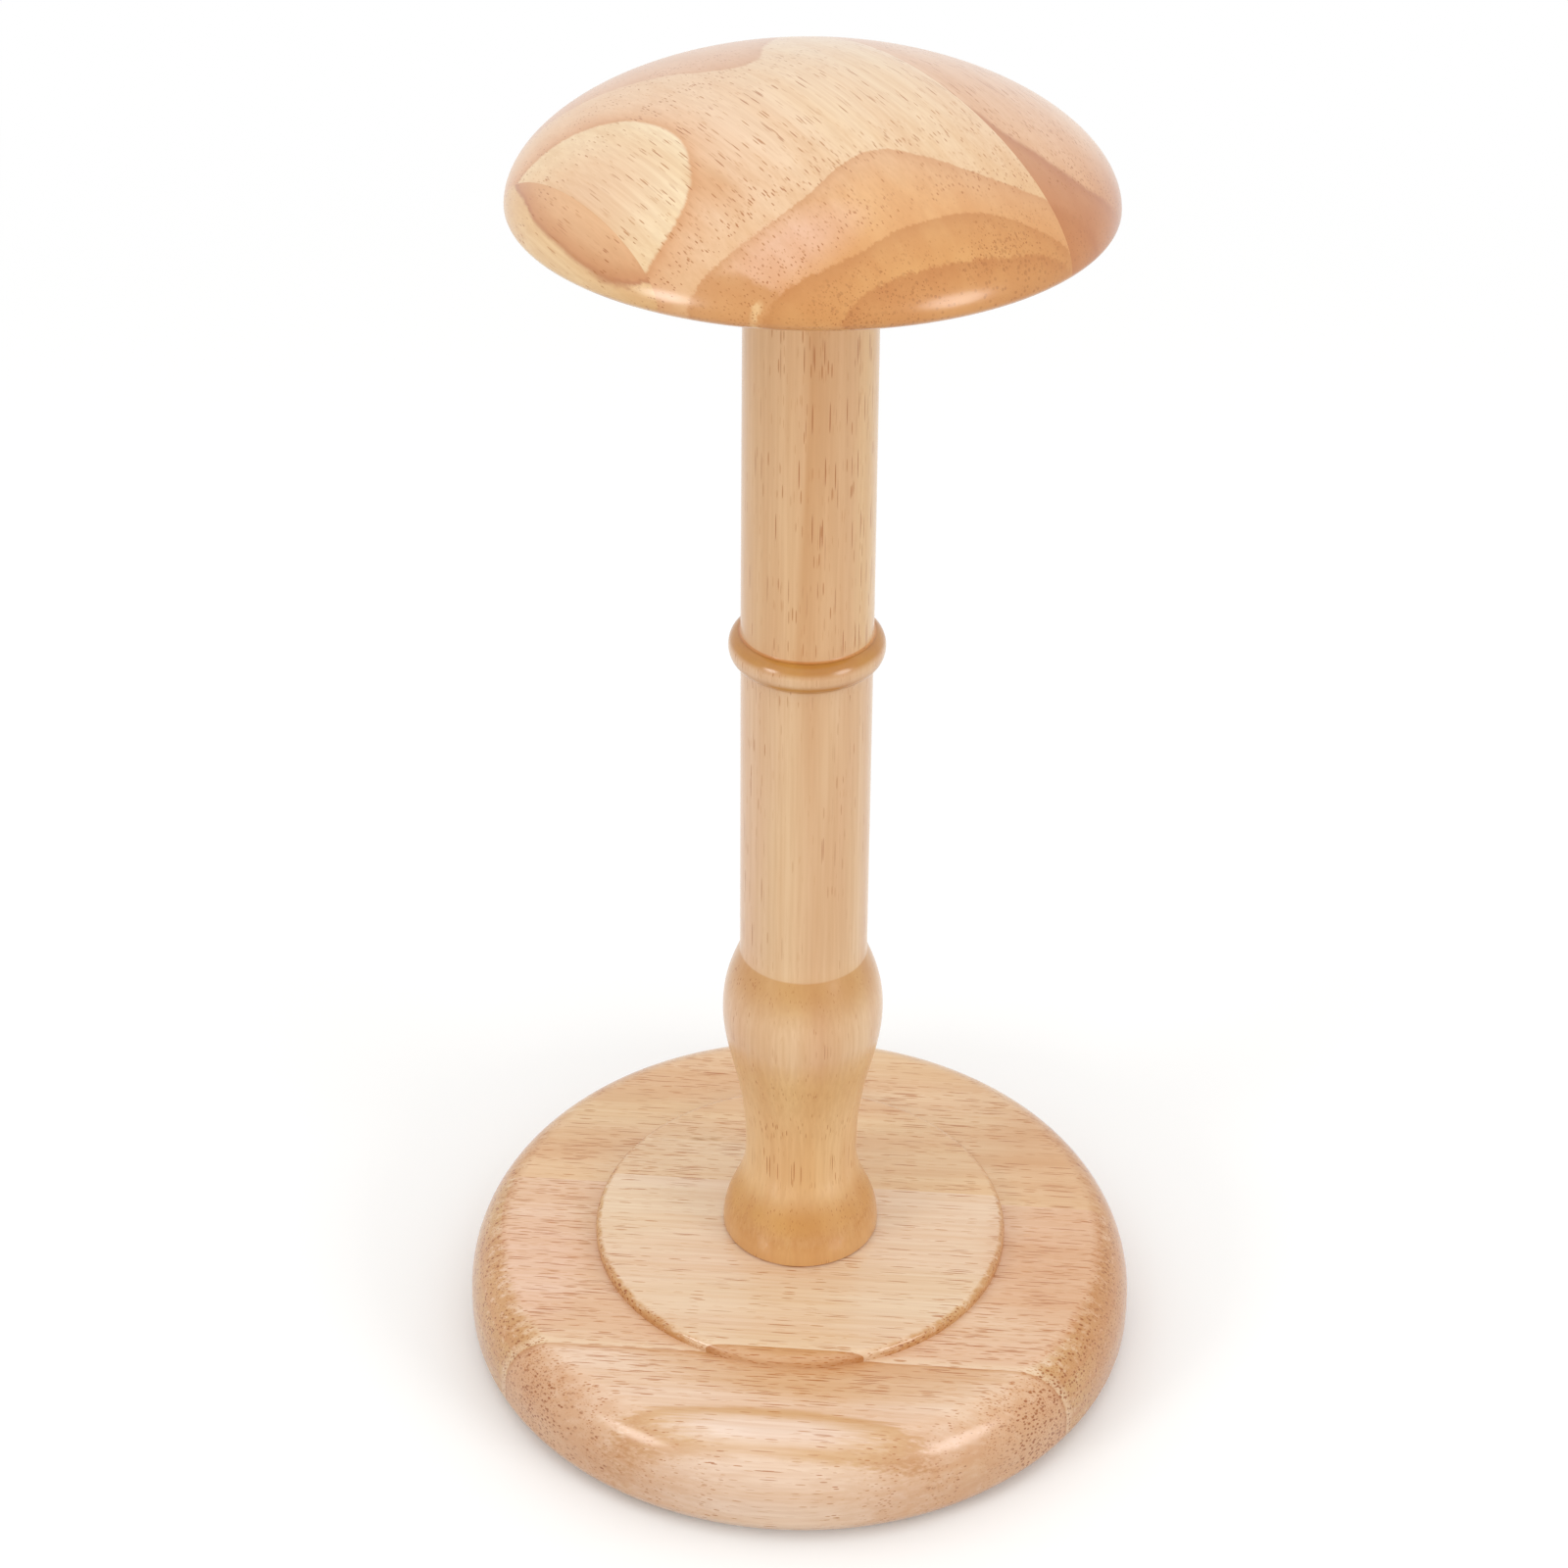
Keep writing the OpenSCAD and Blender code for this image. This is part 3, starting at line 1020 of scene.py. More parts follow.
class Lathe:
    """Turns outlines into solids: each outline point becomes a ring about the Z axis."""

    # Distance from the middle of a turn at which a thread's crest ends and its root begins
    CREST, ROOT = 0.42, 0.08

    def __init__(self) -> None:
        """Build the node trees once for all pieces."""
        self.turning = self.turning_tree()
        self.threading = self.threading_tree()

    @staticmethod
    def new_tree(name: str, inputs: dict[str, str]) -> Tree:
        """Start a geometry tree.

        Args:
            name: the tree's name.
            inputs: socket type of each named input between the geometry and the finish.

        Returns:
            The tree with its sockets and no nodes.
        """
        tree = bpy.data.node_groups.new(name, "GeometryNodeTree")
        for socket, kind in {"Geometry": "Geometry", **inputs, "Finish": "Material"}.items():
            tree.interface.new_socket(socket, in_out="INPUT", socket_type=f"NodeSocket{kind}")
        tree.interface.new_socket("Geometry", in_out="OUTPUT", socket_type="NodeSocketGeometry")
        return tree

    @staticmethod
    def hand_out(tree: Tree, shape: Socket, finish: Socket) -> None:
        """End a geometry tree with a real mesh in its finish.

        Args:
            tree: the tree.
            shape: the finished geometry.
            finish: the material that it gets.
        """
        real = add(tree, "GeometryNodeRealizeInstances", {"Geometry": shape})[0]
        dressed = add(tree, "GeometryNodeSetMaterial", {"Geometry": real, "Material": finish})[0]
        add(tree, "NodeGroupOutput", {"Geometry": dressed})

    def turning_tree(self) -> Tree:
        """Build the tree that turns an outline about the Z axis.

        Returns:
            The tree, which takes a chain of points as radius on X and height on Z.
        """
        tree = self.new_tree("turned", {"Segments": "Int"})
        given = add(tree, "NodeGroupInput")
        rows = add(tree, "GeometryNodeAttributeDomainSize", {"Geometry": given["Geometry"]})["Point Count"]
        columns = add(tree, MATH, {0: given["Segments"], 1: 1.0}, operation="ADD")[0]
        sheet = add(tree, "GeometryNodeMeshGrid", {"Vertices X": rows, "Vertices Y": columns})[0]
        index = add(tree, "GeometryNodeInputIndex")[0]
        ratio = add(tree, MATH, {0: index, 1: columns}, operation="DIVIDE")[0]
        row = add(tree, MATH, {0: ratio}, operation="FLOOR")[0]
        column = add(tree, MATH, {0: index, 1: columns}, operation="MODULO")[0]
        place = add(tree, "GeometryNodeInputPosition")[0]
        point = {"Geometry": given["Geometry"], "Value": place, "Index": row}
        outline = add(tree, "GeometryNodeSampleIndex", point, data_type="FLOAT_VECTOR")[0]
        turns = add(tree, MATH, {0: column, 1: given["Segments"]}, operation="DIVIDE")[0]
        angle = add(tree, MATH, {0: turns, 1: math.tau}, operation="MULTIPLY")[0]
        turned = {"Vector": outline, "Angle": angle}
        place = add(tree, "ShaderNodeVectorRotate", turned, rotation_type="Z_AXIS")[0]
        moved = add(tree, "GeometryNodeSetPosition", {"Geometry": sheet, "Position": place})[0]
        closed = add(tree, "GeometryNodeMergeByDistance", {"Geometry": moved, "Distance": WELD})[0]
        self.hand_out(tree, closed, given["Finish"])
        return tree

    def threading_tree(self) -> Tree:
        """Build the tree that cuts a right-hand thread into a turned surface.

        Returns:
            The tree, which moves the points between two heights and two radii.
        """
        sizes = ("Pitch", "Depth", "Low", "High", "Inner", "Outer")
        tree = self.new_tree("threaded", dict.fromkeys(sizes, "Float"))
        given = add(tree, "NodeGroupInput")
        place = add(tree, "GeometryNodeInputPosition")[0]
        axes = add(tree, "ShaderNodeSeparateXYZ", {0: place})
        flat = add(tree, "ShaderNodeCombineXYZ", {"X": axes["X"], "Y": axes["Y"]})[0]
        radius = add(tree, VECTOR_MATH, {0: flat}, operation="LENGTH")["Value"]
        angle = add(tree, MATH, {0: axes["Y"], 1: axes["X"]}, operation="ARCTAN2")[0]
        turns = add(tree, MATH, {0: angle, 1: math.tau}, operation="DIVIDE")[0]
        rise = add(tree, MATH, {0: axes["Z"], 1: given["Pitch"]}, operation="DIVIDE")[0]
        helix = add(tree, MATH, {0: rise, 1: turns}, operation="SUBTRACT")[0]
        share = add(tree, MATH, {0: helix}, operation="FRACT")[0]
        middle = add(tree, MATH, {0: share, 1: 0.5}, operation="SUBTRACT")[0]
        flank = add(tree, MATH, {0: middle}, operation="ABSOLUTE")[0]
        factors = [add(tree, MAP_RANGE, {"Value": flank, "From Min": self.CREST, "From Max": self.ROOT})[0]]
        for end, way in (("Low", "ADD"), ("High", "SUBTRACT")):
            runout = add(tree, MATH, {0: given[end], 1: given["Pitch"]}, operation=way)[0]
            limits = {"Value": axes["Z"], "From Min": given[end], "From Max": runout}
            factors += [add(tree, MAP_RANGE, limits, interpolation_type="SMOOTHSTEP")[0]]
        cut = given["Depth"]
        for factor in factors:
            cut = add(tree, MATH, {0: cut, 1: factor}, operation="MULTIPLY")[0]
        part = add(tree, MATH, {0: cut, 1: given["Outer"]}, operation="DIVIDE")[0]
        offset = add(tree, VECTOR_MATH, {0: flat, "Scale": part}, operation="SCALE")[0]
        inward = add(tree, VECTOR_MATH, {0: place, 1: offset}, operation="SUBTRACT")[0]
        over = add(tree, "FunctionNodeCompare", {0: radius, 1: given["Inner"]}, operation="GREATER_EQUAL")[0]
        under = add(tree, "FunctionNodeCompare", {0: radius, 1: given["Outer"]}, operation="LESS_EQUAL")[0]
        both = add(tree, "FunctionNodeBooleanMath", {0: over, 1: under})[0]
        shift = {"Geometry": given["Geometry"], "Selection": both, "Position": inward}
        self.hand_out(tree, add(tree, "GeometryNodeSetPosition", shift)[0], given["Finish"])
        return tree

    @staticmethod
    def fit(obj: Object, tree: Tree, values: dict[str, Any]) -> None:
        """Give an object a modifier with a tree and set the tree's inputs.

        Args:
            obj: the object.
            tree: the tree to run.
            values: a value for each named input.
        """
        modifier = obj.modifiers.new(tree.name, "NODES")
        modifier.node_group = tree
        for item in tree.interface.items_tree:
            if item.in_out == "INPUT" and item.name in values:
                modifier[item.identifier] = values[item.name]

    def turn(
        self,
        name: str,
        outline: Sequence[Point],
        finish: Material,
        threads: Sequence[Thread] = (),
        segments: int = TURNED_SEGMENTS,
    ) -> Object:
        """Turn an outline into a closed smooth piece.

        Args:
            name: the piece's name.
            outline: points from axis to axis, as radius and height in mm.
            finish: the piece's material.
            threads: threads to cut into the turned surface.
            segments: number of flats round the piece.

        Returns:
            The piece as a plain mesh.
        """
        chain = bpy.data.meshes.new(name)
        points = [(r * MM, 0.0, z * MM) for r, z in outline]
        chain.from_pydata(points, [(i, i + 1) for i in range(len(points) - 1)], [])
        obj = put(name, chain)
        self.fit(obj, self.turning, {"Segments": segments, "Finish": finish})
        for thread in threads:
            self.fit(obj, self.threading, thread.inputs() | {"Finish": finish})
        depsgraph = bpy.context.evaluated_depsgraph_get()
        mesh = bpy.data.meshes.new_from_object(obj.evaluated_get(depsgraph))
        obj.modifiers.clear()
        obj.data = mesh
        mesh.name = name
        # A grid starts with an empty material slot ahead of the finish
        mesh.materials.pop(index=0)
        bpy.data.meshes.remove(chain)
        shell = bmesh.new()
        shell.from_mesh(mesh)
        close(shell, mesh)
        return obj


def close(shell: bmesh.types.BMesh, mesh: bpy.types.Mesh) -> None:
    """Turn a shell's faces outwards, write it to a mesh and shade it smooth between sharp edges.

    Args:
        shell: the shell, which is freed.
        mesh: the mesh that gets its faces.
    """
    bmesh.ops.recalc_face_normals(shell, faces=shell.faces)
    shell.to_mesh(mesh)
    shell.free()
    mesh.polygons.foreach_set("use_smooth", [True] * len(mesh.polygons))
    mesh.set_sharp_from_angle(angle=SHARP_ANGLE)


def sawn(blank: Object, name: str, angle: float, span: Point, finish: Material) -> Object:
    """Copy the board that lies between two lines across a turned blank's grain.

    Args:
        blank: the turned blank.
        name: the board's name.
        angle: turn of the grain about the Z axis, in degrees.
        span: the board's two sides, measured across the grain in mm.
        finish: the board's material.

    Returns:
        The board as a closed mesh.
    """
    across = Matrix.Rotation(math.radians(angle), 3, "Z") @ Vector((0, 1, 0))
    board = bmesh.new()
    board.from_mesh(blank.data)
    for line, outward in zip(span, (-across, across)):
        geometry = [*board.verts, *board.edges, *board.faces]
        cut = bmesh.ops.bisect_plane(
            board, geom=geometry, plane_co=across * line * MM, plane_no=outward, clear_outer=True
        )
        rim = [part for part in cut["geom_cut"] if isinstance(part, bmesh.types.BMEdge)]
        if rim:
            face = bmesh.ops.contextual_create(board, geom=rim)
            bmesh.ops.triangulate(board, faces=face["faces"])
    mesh = bpy.data.meshes.new(name)
    close(board, mesh)
    mesh.materials.append(finish)
    return put(name, mesh)


def seat(piece: Object, node: str, body: str) -> None:
    """Let a piece stand for a node of the frame and ride on its body.

    Args:
        piece: the finished piece.
        node: the node that it replaces.
        body: the body that carries it.
    """
    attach(piece, body)
    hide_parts(node)
    log.info("%s: %d faces, on %s", piece.name, len(piece.data.polygons), body)


@dataclass(frozen=True)
class GlueUp:
    """A blank of three boards that is turned in one and parted along its glue lines.

    Attributes:
        name: name of the part and of its body.
        boards: name and wood of each board, in their order across the grain.
        angle: turn of the grain about the Z axis, in degrees.
        lines: the two glue lines, measured across the grain in mm.
    """

    name: str
    boards: tuple[tuple[str, Rubberwood], ...]
    angle: float
    lines: Point

    def outline(self) -> list[Point]:
        """Give the blank's outline from axis to axis, as radius and height in mm."""
        raise NotImplementedError

    def box(self) -> tuple[Vector, Vector]:
        """Give the box around the frame's boards in mm."""
        return box_mm(*(f"{self.name}_{side}_board" for side, _ in self.boards))

    def build(self, lathe: Lathe) -> None:
        """Turn the blank, part it and seat its boards.

        Args:
            lathe: the lathe.
        """
        finishes = [wood.material() for _, wood in self.boards]
        blank = lathe.turn(f"{self.name}_blank", self.outline(), finishes[0])
        sides = (-BEYOND, *self.lines, BEYOND)
        for (side, _), finish, span in zip(self.boards, finishes, zip(sides, sides[1:])):
            board = sawn(blank, f"{self.name}_{side}_turned", self.angle, span, finish)
            seat(board, f"{self.name}_{side}_board", self.name)
        bpy.data.objects.remove(blank)


@dataclass(frozen=True)
class Column:
    """A column that is turned from one piece of wood.

    Attributes:
        name: name of the part and of its body.
        wood: its finish.
    """

    name: str
    wood: Rubberwood

    def outline(self) -> list[Point]:
        """Give the column's outline from axis to axis, as radius and height in mm."""
        raise NotImplementedError

    def build(self, lathe: Lathe) -> None:
        """Turn the column and seat it."""
        piece = lathe.turn(f"{self.name}_turned", self.outline(), self.wood.material())
        seat(piece, self.name, self.name)


@dataclass(frozen=True)
class Hardware:
    """Sizes of the bolt and the insert nut in each joint, in mm."""

    bolt_r: float = 4.0
    wood_thread: float = 24.0
    point: float = 6.0
    machine_thread: float = 18.0
    bevel: float = 1.0
    nut_r: float = 6.0
    nut_l: float = 15.0
    flange_r: float = 7.5
    flange_t: float = 1.5
    nut_set: float = 0.3
    gap: float = 0.05
    end_gap: float = 1.5
    machine_pitch: float = 1.25
    machine_cut: float = 0.6
    bore_cut: float = 0.48
    wood_pitch: float = 3.2
    wood_cut: float = 1.0
    edge: float = 0.3
    # The points of a thread's outline stand this close, and are cut this near the axis or a surface
    step: float = 0.14
    axis_gap: float = 0.05
    below: float = 0.1
    skin: float = 0.01
    segments: int = 64

    def bolt_hole(self, face: float, way: int) -> list[Point]:
        """Give the outline of a bolt's hole, from the axis out to the wood's face.

        Args:
            face: height of the wood's face.
            way: 1 where the hole goes up from the face, -1 where it goes down.

        Returns:
            Points as radius and height.
        """
        r = self.bolt_r + self.gap
        bottom = face + way * (self.wood_thread + self.end_gap)
        return [(0.0, bottom), (r, bottom), (r, face)]

    def nut_hole(self, face: float, way: int) -> list[Point]:
        """Give the outline of a nut's hole, from the axis out to the wood's face.

        Args:
            face: height of the wood's face.
            way: 1 where the hole goes up from the face, -1 where it goes down.

        Returns:
            Points as radius and height.
        """
        body = self.nut_r + self.gap
        flange = self.flange_r + self.gap
        bottom = face + way * (self.machine_thread + self.end_gap)
        step = face + way * (self.nut_set + self.flange_t)
        return [(0.0, bottom), (body, bottom), (body, step), (flange, step), (flange, face)]


HARDWARE = Hardware()


@dataclass(frozen=True)
class ScrewJoint:
    """A bolt and an insert nut that hold two wooden parts together.

    Attributes:
        name: the joint's name, which its pieces start with.
        face: height in mm where the two parts meet.
        way: 1 where the nut lies above the face, -1 where it lies below.
        bolt_body: body that carries the bolt.
        nut_body: body that carries the nut.
    """

    name: str
    face: float
    way: int
    bolt_body: str
    nut_body: str

    def thread(self, pitch: float, depth: float, ends: Point, radii: Point) -> Thread:
        """Give a thread on a piece of this joint.

        Args:
            pitch: rise of one turn.
            depth: how far it is cut.
            ends: the thread's two ends, measured from the face towards the nut.
            radii: least and largest radius that it is cut into.

        Returns:
            The thread at its place.
        """
        low, high = sorted(self.face + self.way * end for end in ends)
        return Thread(pitch, depth, low, high, *radii)

    def bolt(self) -> tuple[list[Point], list[Thread]]:
        """Give the shape of the bolt, which has a wood thread and a machine thread.

        Returns:
            The outline with the face at zero and the nut above it, and the threads.
        """
        s = HARDWARE
        outline = [
            (0.0, -s.wood_thread),
            (s.bolt_r, s.point - s.wood_thread),
            (s.bolt_r, s.machine_thread - s.bevel),
            (s.bolt_r - s.bevel, s.machine_thread),
            (0.0, s.machine_thread),
        ]
        radii = (s.axis_gap, s.bolt_r + s.gap)
        end = s.machine_thread + s.machine_pitch
        return outline, [
            self.thread(s.wood_pitch, s.wood_cut, (-s.wood_thread, -s.wood_pitch / 2), radii),
            self.thread(s.machine_pitch, s.machine_cut, (0.0, end), radii),
        ]

    def nut(self) -> tuple[list[Point], list[Thread]]:
        """Give the shape of the insert nut, which has a thread outside and one in its bore.

        Returns:
            The outline with the face at zero and the nut above it, and the threads.
        """
        s = HARDWARE
        bore = s.bolt_r + s.gap
        flange_top = s.nut_set + s.flange_t
        top = s.nut_set + s.nut_l
        outline = [
            (bore, s.nut_set + s.edge),
            (bore + s.edge, s.nut_set),
            (s.flange_r - s.edge, s.nut_set),
            (s.flange_r, s.nut_set + s.edge),
            (s.flange_r, flange_top),
            (s.nut_r, flange_top),
            (s.nut_r, top - s.edge),
            (s.nut_r - s.edge, top),
            (bore + s.edge, top),
            (bore, top - s.edge),
            (bore, s.nut_set + s.edge),
        ]
        outer, inner = (s.nut_r - s.below, s.nut_r + s.skin), (bore - s.skin, bore + s.skin)
        return outline, [
            self.thread(s.wood_pitch, s.wood_cut, (flange_top, top), outer),
            self.thread(s.machine_pitch, -s.bore_cut, (s.nut_set, top), inner),
        ]

    def build(self, lathe: Lathe, steel: Material, zinc: Material) -> None:
        """Turn both pieces and seat them.

        Args:
            lathe: the lathe.
            steel: the bolt's material.
            zinc: the nut's material.
        """
        pieces = (
            ("hanger", "bolt", self.bolt(), steel, self.bolt_body),
            ("insert", "nut", self.nut(), zinc, self.nut_body),
        )
        for sort, kind, (outline, threads), finish, body in pieces:
            dense = filled([(r, self.face + self.way * z) for r, z in outline], HARDWARE.step)
            name = f"{self.name}_{sort}_{kind}"
            piece = lathe.turn(name, dense, finish, threads, HARDWARE.segments)
            seat(piece, f"{self.name}_{kind}", body)


@dataclass(frozen=True)
class Cap(GlueUp):
    """The domed cap, turned from a blank glued up of three boards, in mm."""

    name: str = "cap"
    boards: tuple[tuple[str, Rubberwood], ...] = CAP_BOARDS
    angle: float = -56.5
    lines: Point = (-60.5, 22.9)
    rim_h: float = 3.9
    rim_run: float = 13.0
    dome_power: float = 1.8
    dome_steps: int = 96

    def outline(self) -> list[Point]:
        """Give the cap's outline with its nut hole.

        Returns:
            Points from axis to axis, as radius and height.
        """
        low, high = self.box()
        r, rim = high.x, low.z + self.rim_h
        bend = 2 / self.dome_power
        points = HARDWARE.nut_hole(low.z, 1)
        points += arc((r - self.rim_run, rim), self.rim_run, self.rim_h, -90, 0)
        for i in range(1, self.dome_steps):
            a = math.pi / 2 * i / self.dome_steps
            points.append((r * math.cos(a) ** bend, rim + (high.z - rim) * math.sin(a) ** bend))
        return [*points, (0.0, high.z)]


@dataclass(frozen=True)
class UpperColumn(Column):
    """The plain tapered pole under the cap, in mm."""

    name: str = "upper_column"
    wood: Rubberwood = UPPER_COLUMN_WOOD
    neck_r: float = 16.3
    head_r: float = 15.7
    arris: float = 0.5
    fillet: float = 0.6
    ring_step: float = 6.0

    def outline(self) -> list[Point]:
        """Give the pole's outline with its nut hole and its bolt hole.

        Returns:
            Points from axis to axis, as radius and height.
        """
        low, high = box_mm(self.name)
        foot = (self.neck_r + self.fillet, low.z + self.fillet)
        corners = [
            *HARDWARE.nut_hole(low.z, 1),
            *arc(foot, self.fillet, self.fillet, 270, 180, steps=8),
            (self.head_r, high.z - self.arris),
            (self.head_r - self.arris, high.z),
            *reversed(HARDWARE.bolt_hole(high.z, -1)),
        ]
        return filled(corners, self.ring_step)


@dataclass(frozen=True)
class LowerColumn(Column):
    """The lower column: foot, waist, belly, shoulder, shaft and bead in one turning, in mm.

    A size that ends in hold is the share of a curve's rise over which it keeps its first direction.
    """

    name: str = "lower_column"
    wood: Rubberwood = LOWER_COLUMN_WOOD
    foot_r: float = 21.25
    waist_r: float = 15.0
    waist_h: float = 27.0
    belly_r: float = 21.1
    belly_h: float = 73.0
    shoulder_r: float = 16.55
    shoulder_h: float = 92.5
    shoulder_lean: float = 21.0
    neck_r: float = 16.3
    bead_h: float = 8.0
    bead_out: float = 3.0
    cove_h: float = 3.0
    cove_step: float = 0.1
    cove_meet: float = -78.0
    arris: float = 0.5
    foot_hold: float = 0.4
    waist_hold: float = 0.51
    belly_hold: float = 0.28
    crown_hold: float = 0.46
    shoulder_hold: float = 0.29
    ring_step: float = 6.0

    @staticmethod
    def swell(a: Point, d: Point, leave: float, arrive: float, lean: float = 0.0) -> list[Point]:
        """Give the points of a curve that leaves a point upright and leans where it reaches the next.

        Args:
            a: first point.
            d: last point.
            leave: share of the rise over which it keeps upright.
            arrive: share of the rise over which it keeps its lean.
            lean: degrees that it leans inwards at the end.

        Returns:
            Points as radius and height.
        """
        rise = d[1] - a[1]
        reach = arrive * rise
        start = (a[0], a[1] + leave * rise)
        return curve(a, start, (d[0] + reach * math.tan(math.radians(lean)), d[1] - reach), d)

    def outline(self) -> list[Point]:
        """Give the column's outline with its two bolt holes.

        Returns:
            Points from axis to axis, as radius and height.
        """
        low, high = box_mm(self.name)
        foot = (self.foot_r, low.z + self.arris)
        waist = (self.waist_r, low.z + self.waist_h)
        belly = (self.belly_r, low.z + self.belly_h)
        crease = (self.shoulder_r, low.z + self.shoulder_h)
        under = high.z - self.bead_h
        ring = (self.neck_r, under + self.bead_h / 2)
        bead = arc(ring, self.bead_out, self.bead_h / 2, self.cove_meet, 90, steps=40)
        shaft = [crease, (self.neck_r, under - self.cove_h)]
        ledge = (self.neck_r + self.cove_step, under - self.cove_h)
        rising = (ledge[0], ledge[1] + self.cove_h / 2)
        meeting = (ledge[0] + self.cove_step, under - self.cove_step)
        return [
            *HARDWARE.bolt_hole(low.z, 1),
            (self.foot_r - self.arris, low.z),
            *self.swell(foot, waist, self.foot_hold, self.waist_hold),
            *self.swell(waist, belly, self.waist_hold, self.belly_hold)[1:],
            *self.swell(belly, crease, self.crown_hold, self.shoulder_hold, self.shoulder_lean)[1:],
            *filled(shaft, self.ring_step)[1:],
            *curve(ledge, rising, meeting, bead[0], steps=12),
            *bead[1:],
            *reversed(HARDWARE.bolt_hole(high.z, -1)),
        ]


@dataclass(frozen=True)
class Base(GlueUp):
    """The round base with its raised seat, turned from a blank glued up of three boards, in mm."""

    name: str = "base"
    boards: tuple[tuple[str, Rubberwood], ...] = BASE_BOARDS
    angle: float = -4.5
    lines: Point = (-52.5, 13.3)
    thickness: float = 28.0
    top_run: float = 11.7
    top_drop: float = 17.5
    under_run: float = 10.3
    under_rise: float = 7.0
    seat_r: float = 56.5
    seat_edge: float = 2.0
    ring_step: float = 8.0

    def outline(self) -> list[Point]:
        """Give the base's outline with its nut hole.

        Returns:
            Points from axis to axis, as radius and height.
        """
        low, high = self.box()
        r, t, round_r = high.x, self.thickness, self.seat_edge
        flat = [(r - self.top_run, t), (self.seat_r, t)]
        under = arc((r - self.under_run, self.under_rise), self.under_run, self.under_rise, -90, 0)
        upper = arc((r - self.top_run, t - self.top_drop), self.top_run, self.top_drop, 0, 90, steps=40)
        edge = arc((self.seat_r - round_r, high.z - round_r), round_r, round_r, 0, 90)
        hole = list(reversed(HARDWARE.nut_hole(high.z, -1)))
        return [
            (0.0, low.z),
            *under,
            *upper[1:],
            *filled(flat, self.ring_step)[1:],
            *edge,
            *filled([edge[-1], hole[0]], self.ring_step)[1:],
            *hole[1:],
        ]


@dataclass(frozen=True)
class Softbox:
    """A soft lamp that looks at the stand.

    Attributes:
        name: the lamp's name.
        azimuth: degrees round from the front, positive to the right.
        elevation: degrees above the floor.
        width: width of the lamp in metres.
        height: height of the lamp in metres.
        power: the lamp's power in watts.
        distance: distance from the stand in metres.
    """

    name: str
    azimuth: float
    elevation: float
    width: float
    height: float
    power: float
    distance: float = 1.5

    def build(self, target: Vector) -> None:
        """Hang the lamp and aim it.

        Args:
            target: point that it looks at.
        """
        light = bpy.data.lights.new(self.name, "AREA")
        light.shape = "ELLIPSE"
        light.size, light.size_y = self.width, self.height
        light.energy = self.power
        lamp = put(self.name, light)
        way = bearing(self.azimuth, self.elevation)
        lamp.location = target + way * self.distance
        lamp.rotation_euler = (-way).to_track_quat("-Z", "Y").to_euler()


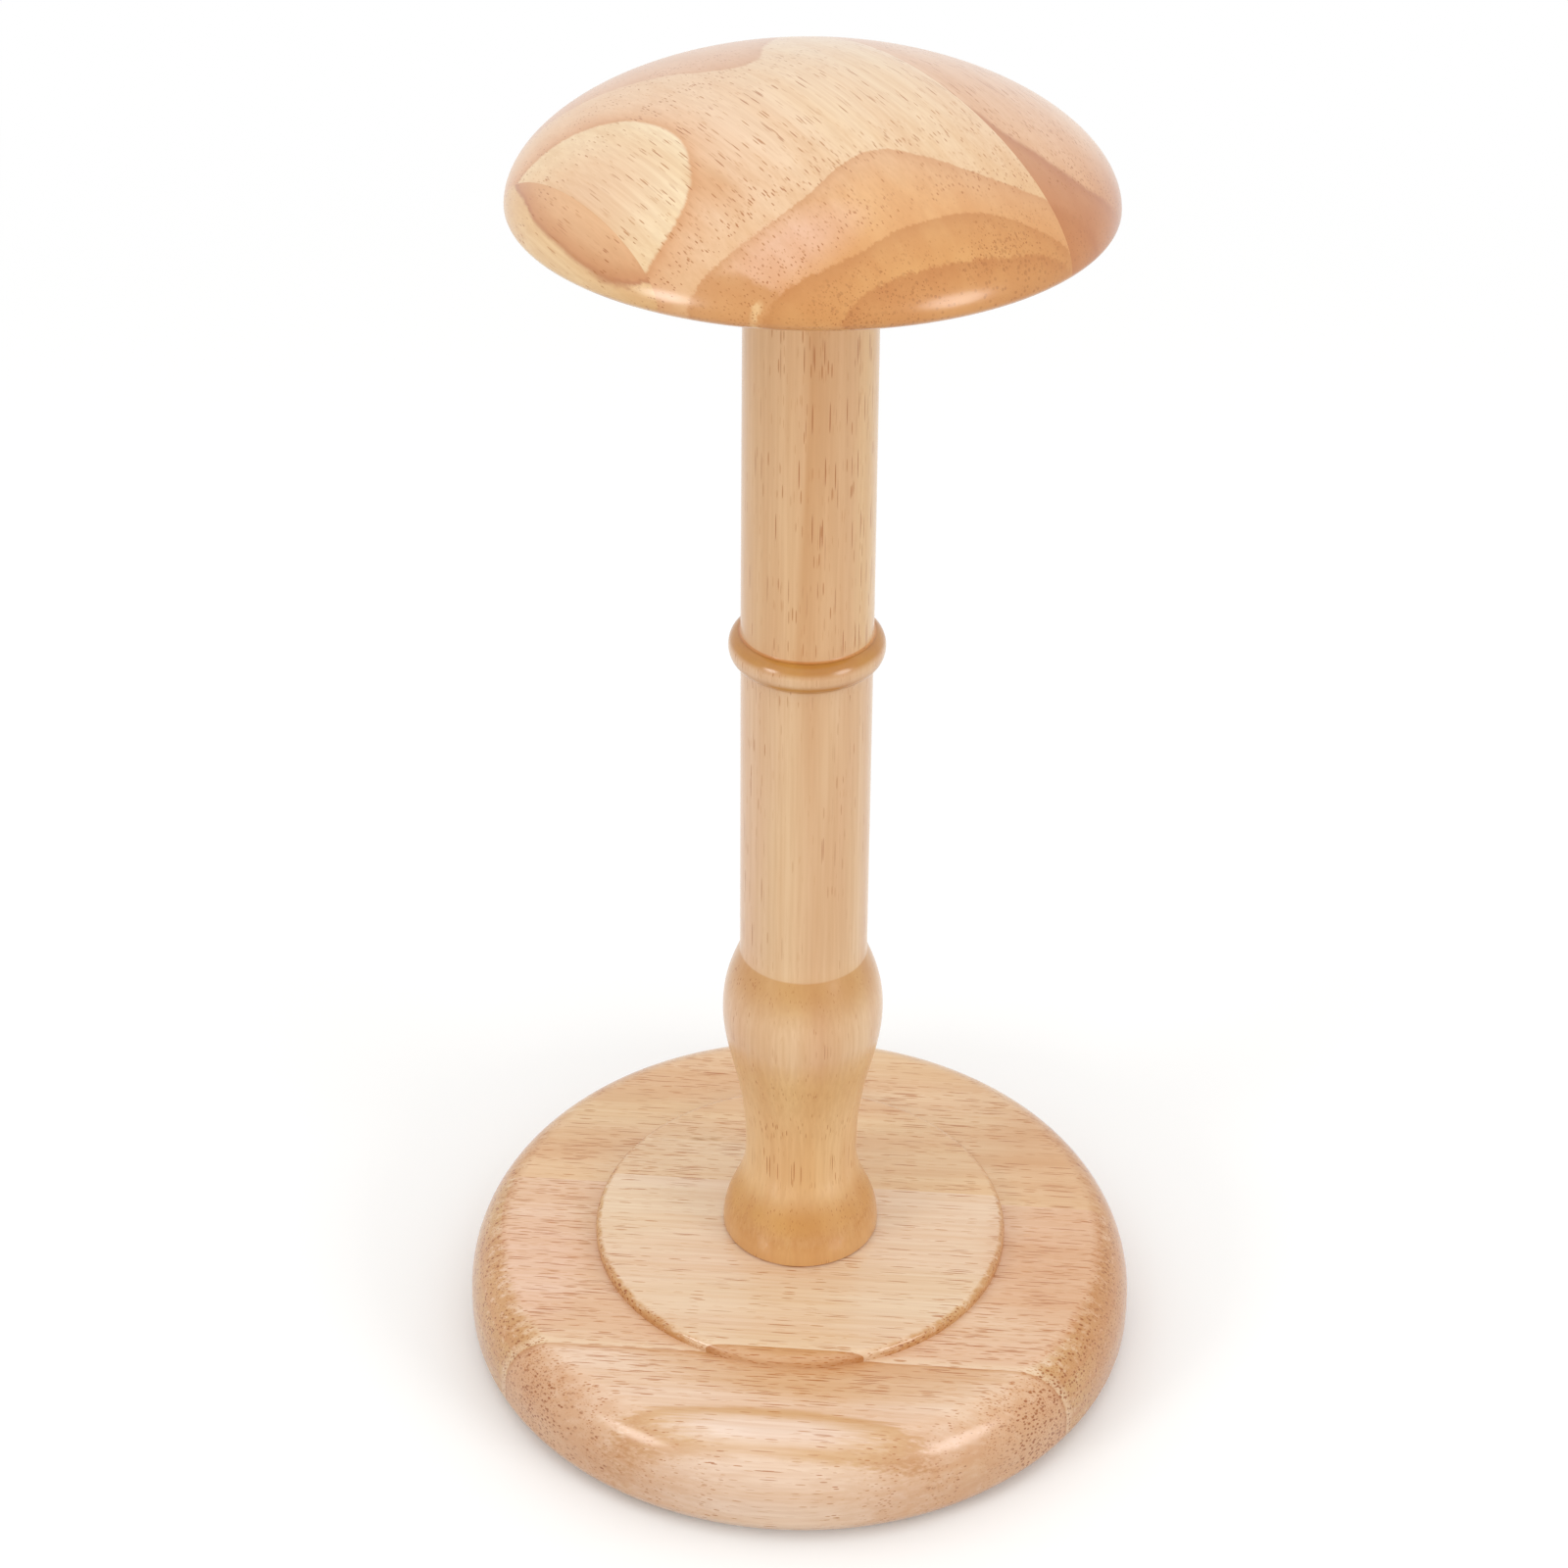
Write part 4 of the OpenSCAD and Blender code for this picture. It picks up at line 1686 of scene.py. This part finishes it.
@dataclass(frozen=True)
class Studio:
    """The pale floor, the soft light and the camera at the photograph's angle, in metres.

    The paper is matt and white where it is seen, and sends a little less light back onto the stand.
    """

    floor_half: float = 4.0
    fade_from: float = 0.3
    fade_to: float = 1.0
    paper_seen: str = "#fbfbfa"
    paper_lit: str = "#bbb8b4"
    white: str = "#ffffff"
    sky_low: float = 0.34
    sky_high: float = 1.28
    aim: tuple[float, float, float] = (-0.0054, 0.0, 0.1737)
    distance: float = 0.7687
    elevation: float = 33.006
    roll: float = 0.435
    lens: float = 70.18
    sensor: float = 36.0
    lamps: tuple[Softbox, ...] = (
        Softbox("left_softbox", azimuth=-51.5, elevation=16.0, width=0.46, height=0.44, power=5.2),
        Softbox("right_softbox", azimuth=51.0, elevation=14.5, width=0.62, height=0.56, power=6.0),
    )

    @staticmethod
    def seen(tree: Tree) -> Socket:
        """Add the nodes that tell rays that show the background from those that light the stand.

        Args:
            tree: the floor's or the sky's tree.

        Returns:
            1 for rays that show the background.
        """
        rays = add(tree, "ShaderNodeLightPath")
        shown = rays["Is Camera Ray"]
        for ray in ("Is Glossy Ray", "Is Transmission Ray"):
            shown = add(tree, MATH, {0: shown, 1: rays[ray]}, operation="MAXIMUM")[0]
        return shown

    def build_floor(self) -> None:
        """Lay a paper floor that fades into the background away from the stand."""
        mesh = bpy.data.meshes.new("paper_floor")
        h = self.floor_half
        mesh.from_pydata([(-h, -h, 0), (h, -h, 0), (h, h, 0), (-h, h, 0)], [], [(0, 1, 2, 3)])
        paper = empty_material("matt_white_paper")
        tree = paper.node_tree
        seen = self.seen(tree)
        tones = {0: seen, 6: linear(self.paper_lit), 7: linear(self.paper_seen)}
        tone = add(tree, MIX, tones, data_type="RGBA")[2]
        sheet = {"Base Color": tone, "Roughness": 0.9, "Specular IOR Level": 0.1}
        matt = add(tree, "ShaderNodeBsdfPrincipled", sheet)[0]
        place = add(tree, "ShaderNodeTexCoord")["Object"]
        away = add(tree, VECTOR_MATH, {0: place}, operation="LENGTH")["Value"]
        limits = {"Value": away, "From Min": self.fade_from, "From Max": self.fade_to, "To Max": seen}
        far = add(tree, MAP_RANGE, limits, interpolation_type="SMOOTHSTEP")[0]
        white = add(tree, "ShaderNodeEmission", {"Color": linear(self.white), "Strength": 1.0})[0]
        mixed = add(tree, "ShaderNodeMixShader", {0: far, 1: matt, 2: white})[0]
        add(tree, "ShaderNodeOutputMaterial", {"Surface": mixed})
        mesh.materials.append(paper)
        put("paper_floor", mesh)

    def build_sky(self) -> None:
        """Surround the stand with soft light, stronger from above, on a white background."""
        world = bpy.data.worlds.new("soft_studio")
        bpy.context.scene.world = world
        world.use_nodes = True
        tree = world.node_tree
        tree.nodes.clear()
        way = add(tree, "ShaderNodeTexCoord")["Generated"]
        height = add(tree, "ShaderNodeSeparateXYZ", {0: way})["Z"]
        limits = {"Value": height, "To Min": self.sky_low, "To Max": self.sky_high}
        strength = add(tree, MAP_RANGE, limits)[0]
        white = linear(self.white)
        light = add(tree, "ShaderNodeBackground", {"Color": white, "Strength": strength})[0]
        plain = add(tree, "ShaderNodeBackground", {"Color": white, "Strength": 1.0})[0]
        mixed = add(tree, "ShaderNodeMixShader", {0: self.seen(tree), 1: light, 2: plain})[0]
        add(tree, "ShaderNodeOutputWorld", {"Surface": mixed})

    def build_camera(self) -> None:
        """Set up the camera where the photograph was taken from."""
        data = bpy.data.cameras.new("camera")
        data.lens, data.sensor_width = self.lens, self.sensor
        camera = put("camera", data)
        back = bearing(0.0, self.elevation)
        camera.location = Vector(self.aim) + back * self.distance
        look = (-back).to_track_quat("-Z", "Y").to_matrix()
        turned = look @ Matrix.Rotation(math.radians(self.roll), 3, "Z")
        camera.rotation_euler = turned.to_euler()
        bpy.context.scene.camera = camera

    def build(self) -> None:
        """Set up floor, light and camera."""
        bpy.context.scene.view_settings.view_transform = "Standard"
        self.build_floor()
        self.build_sky()
        for lamp in self.lamps:
            lamp.build(Vector(self.aim))
        self.build_camera()


def main() -> None:
    """Build the stand and its studio."""
    logging.basicConfig(level=logging.INFO, format="%(name)s: %(message)s")
    lathe = Lathe()
    for part in (Base(), LowerColumn(), UpperColumn(), Cap()):
        part.build(lathe)
    steel, zinc = ZINC_STEEL.material(), YELLOW_ZINC.material()
    foot, neck, head = (box_mm(n)[0].z for n in ("lower_column", "upper_column", "cap_centre_board"))
    joints = (
        ScrewJoint("base", foot, -1, "base_bolt", "base"),
        ScrewJoint("middle", neck, 1, "lower_column", "middle_nut"),
        ScrewJoint("cap", head, 1, "upper_column", "cap_nut"),
    )
    for joint in joints:
        joint.build(lathe, steel, zinc)
    Studio().build()


if __name__ == "__main__":
    main()
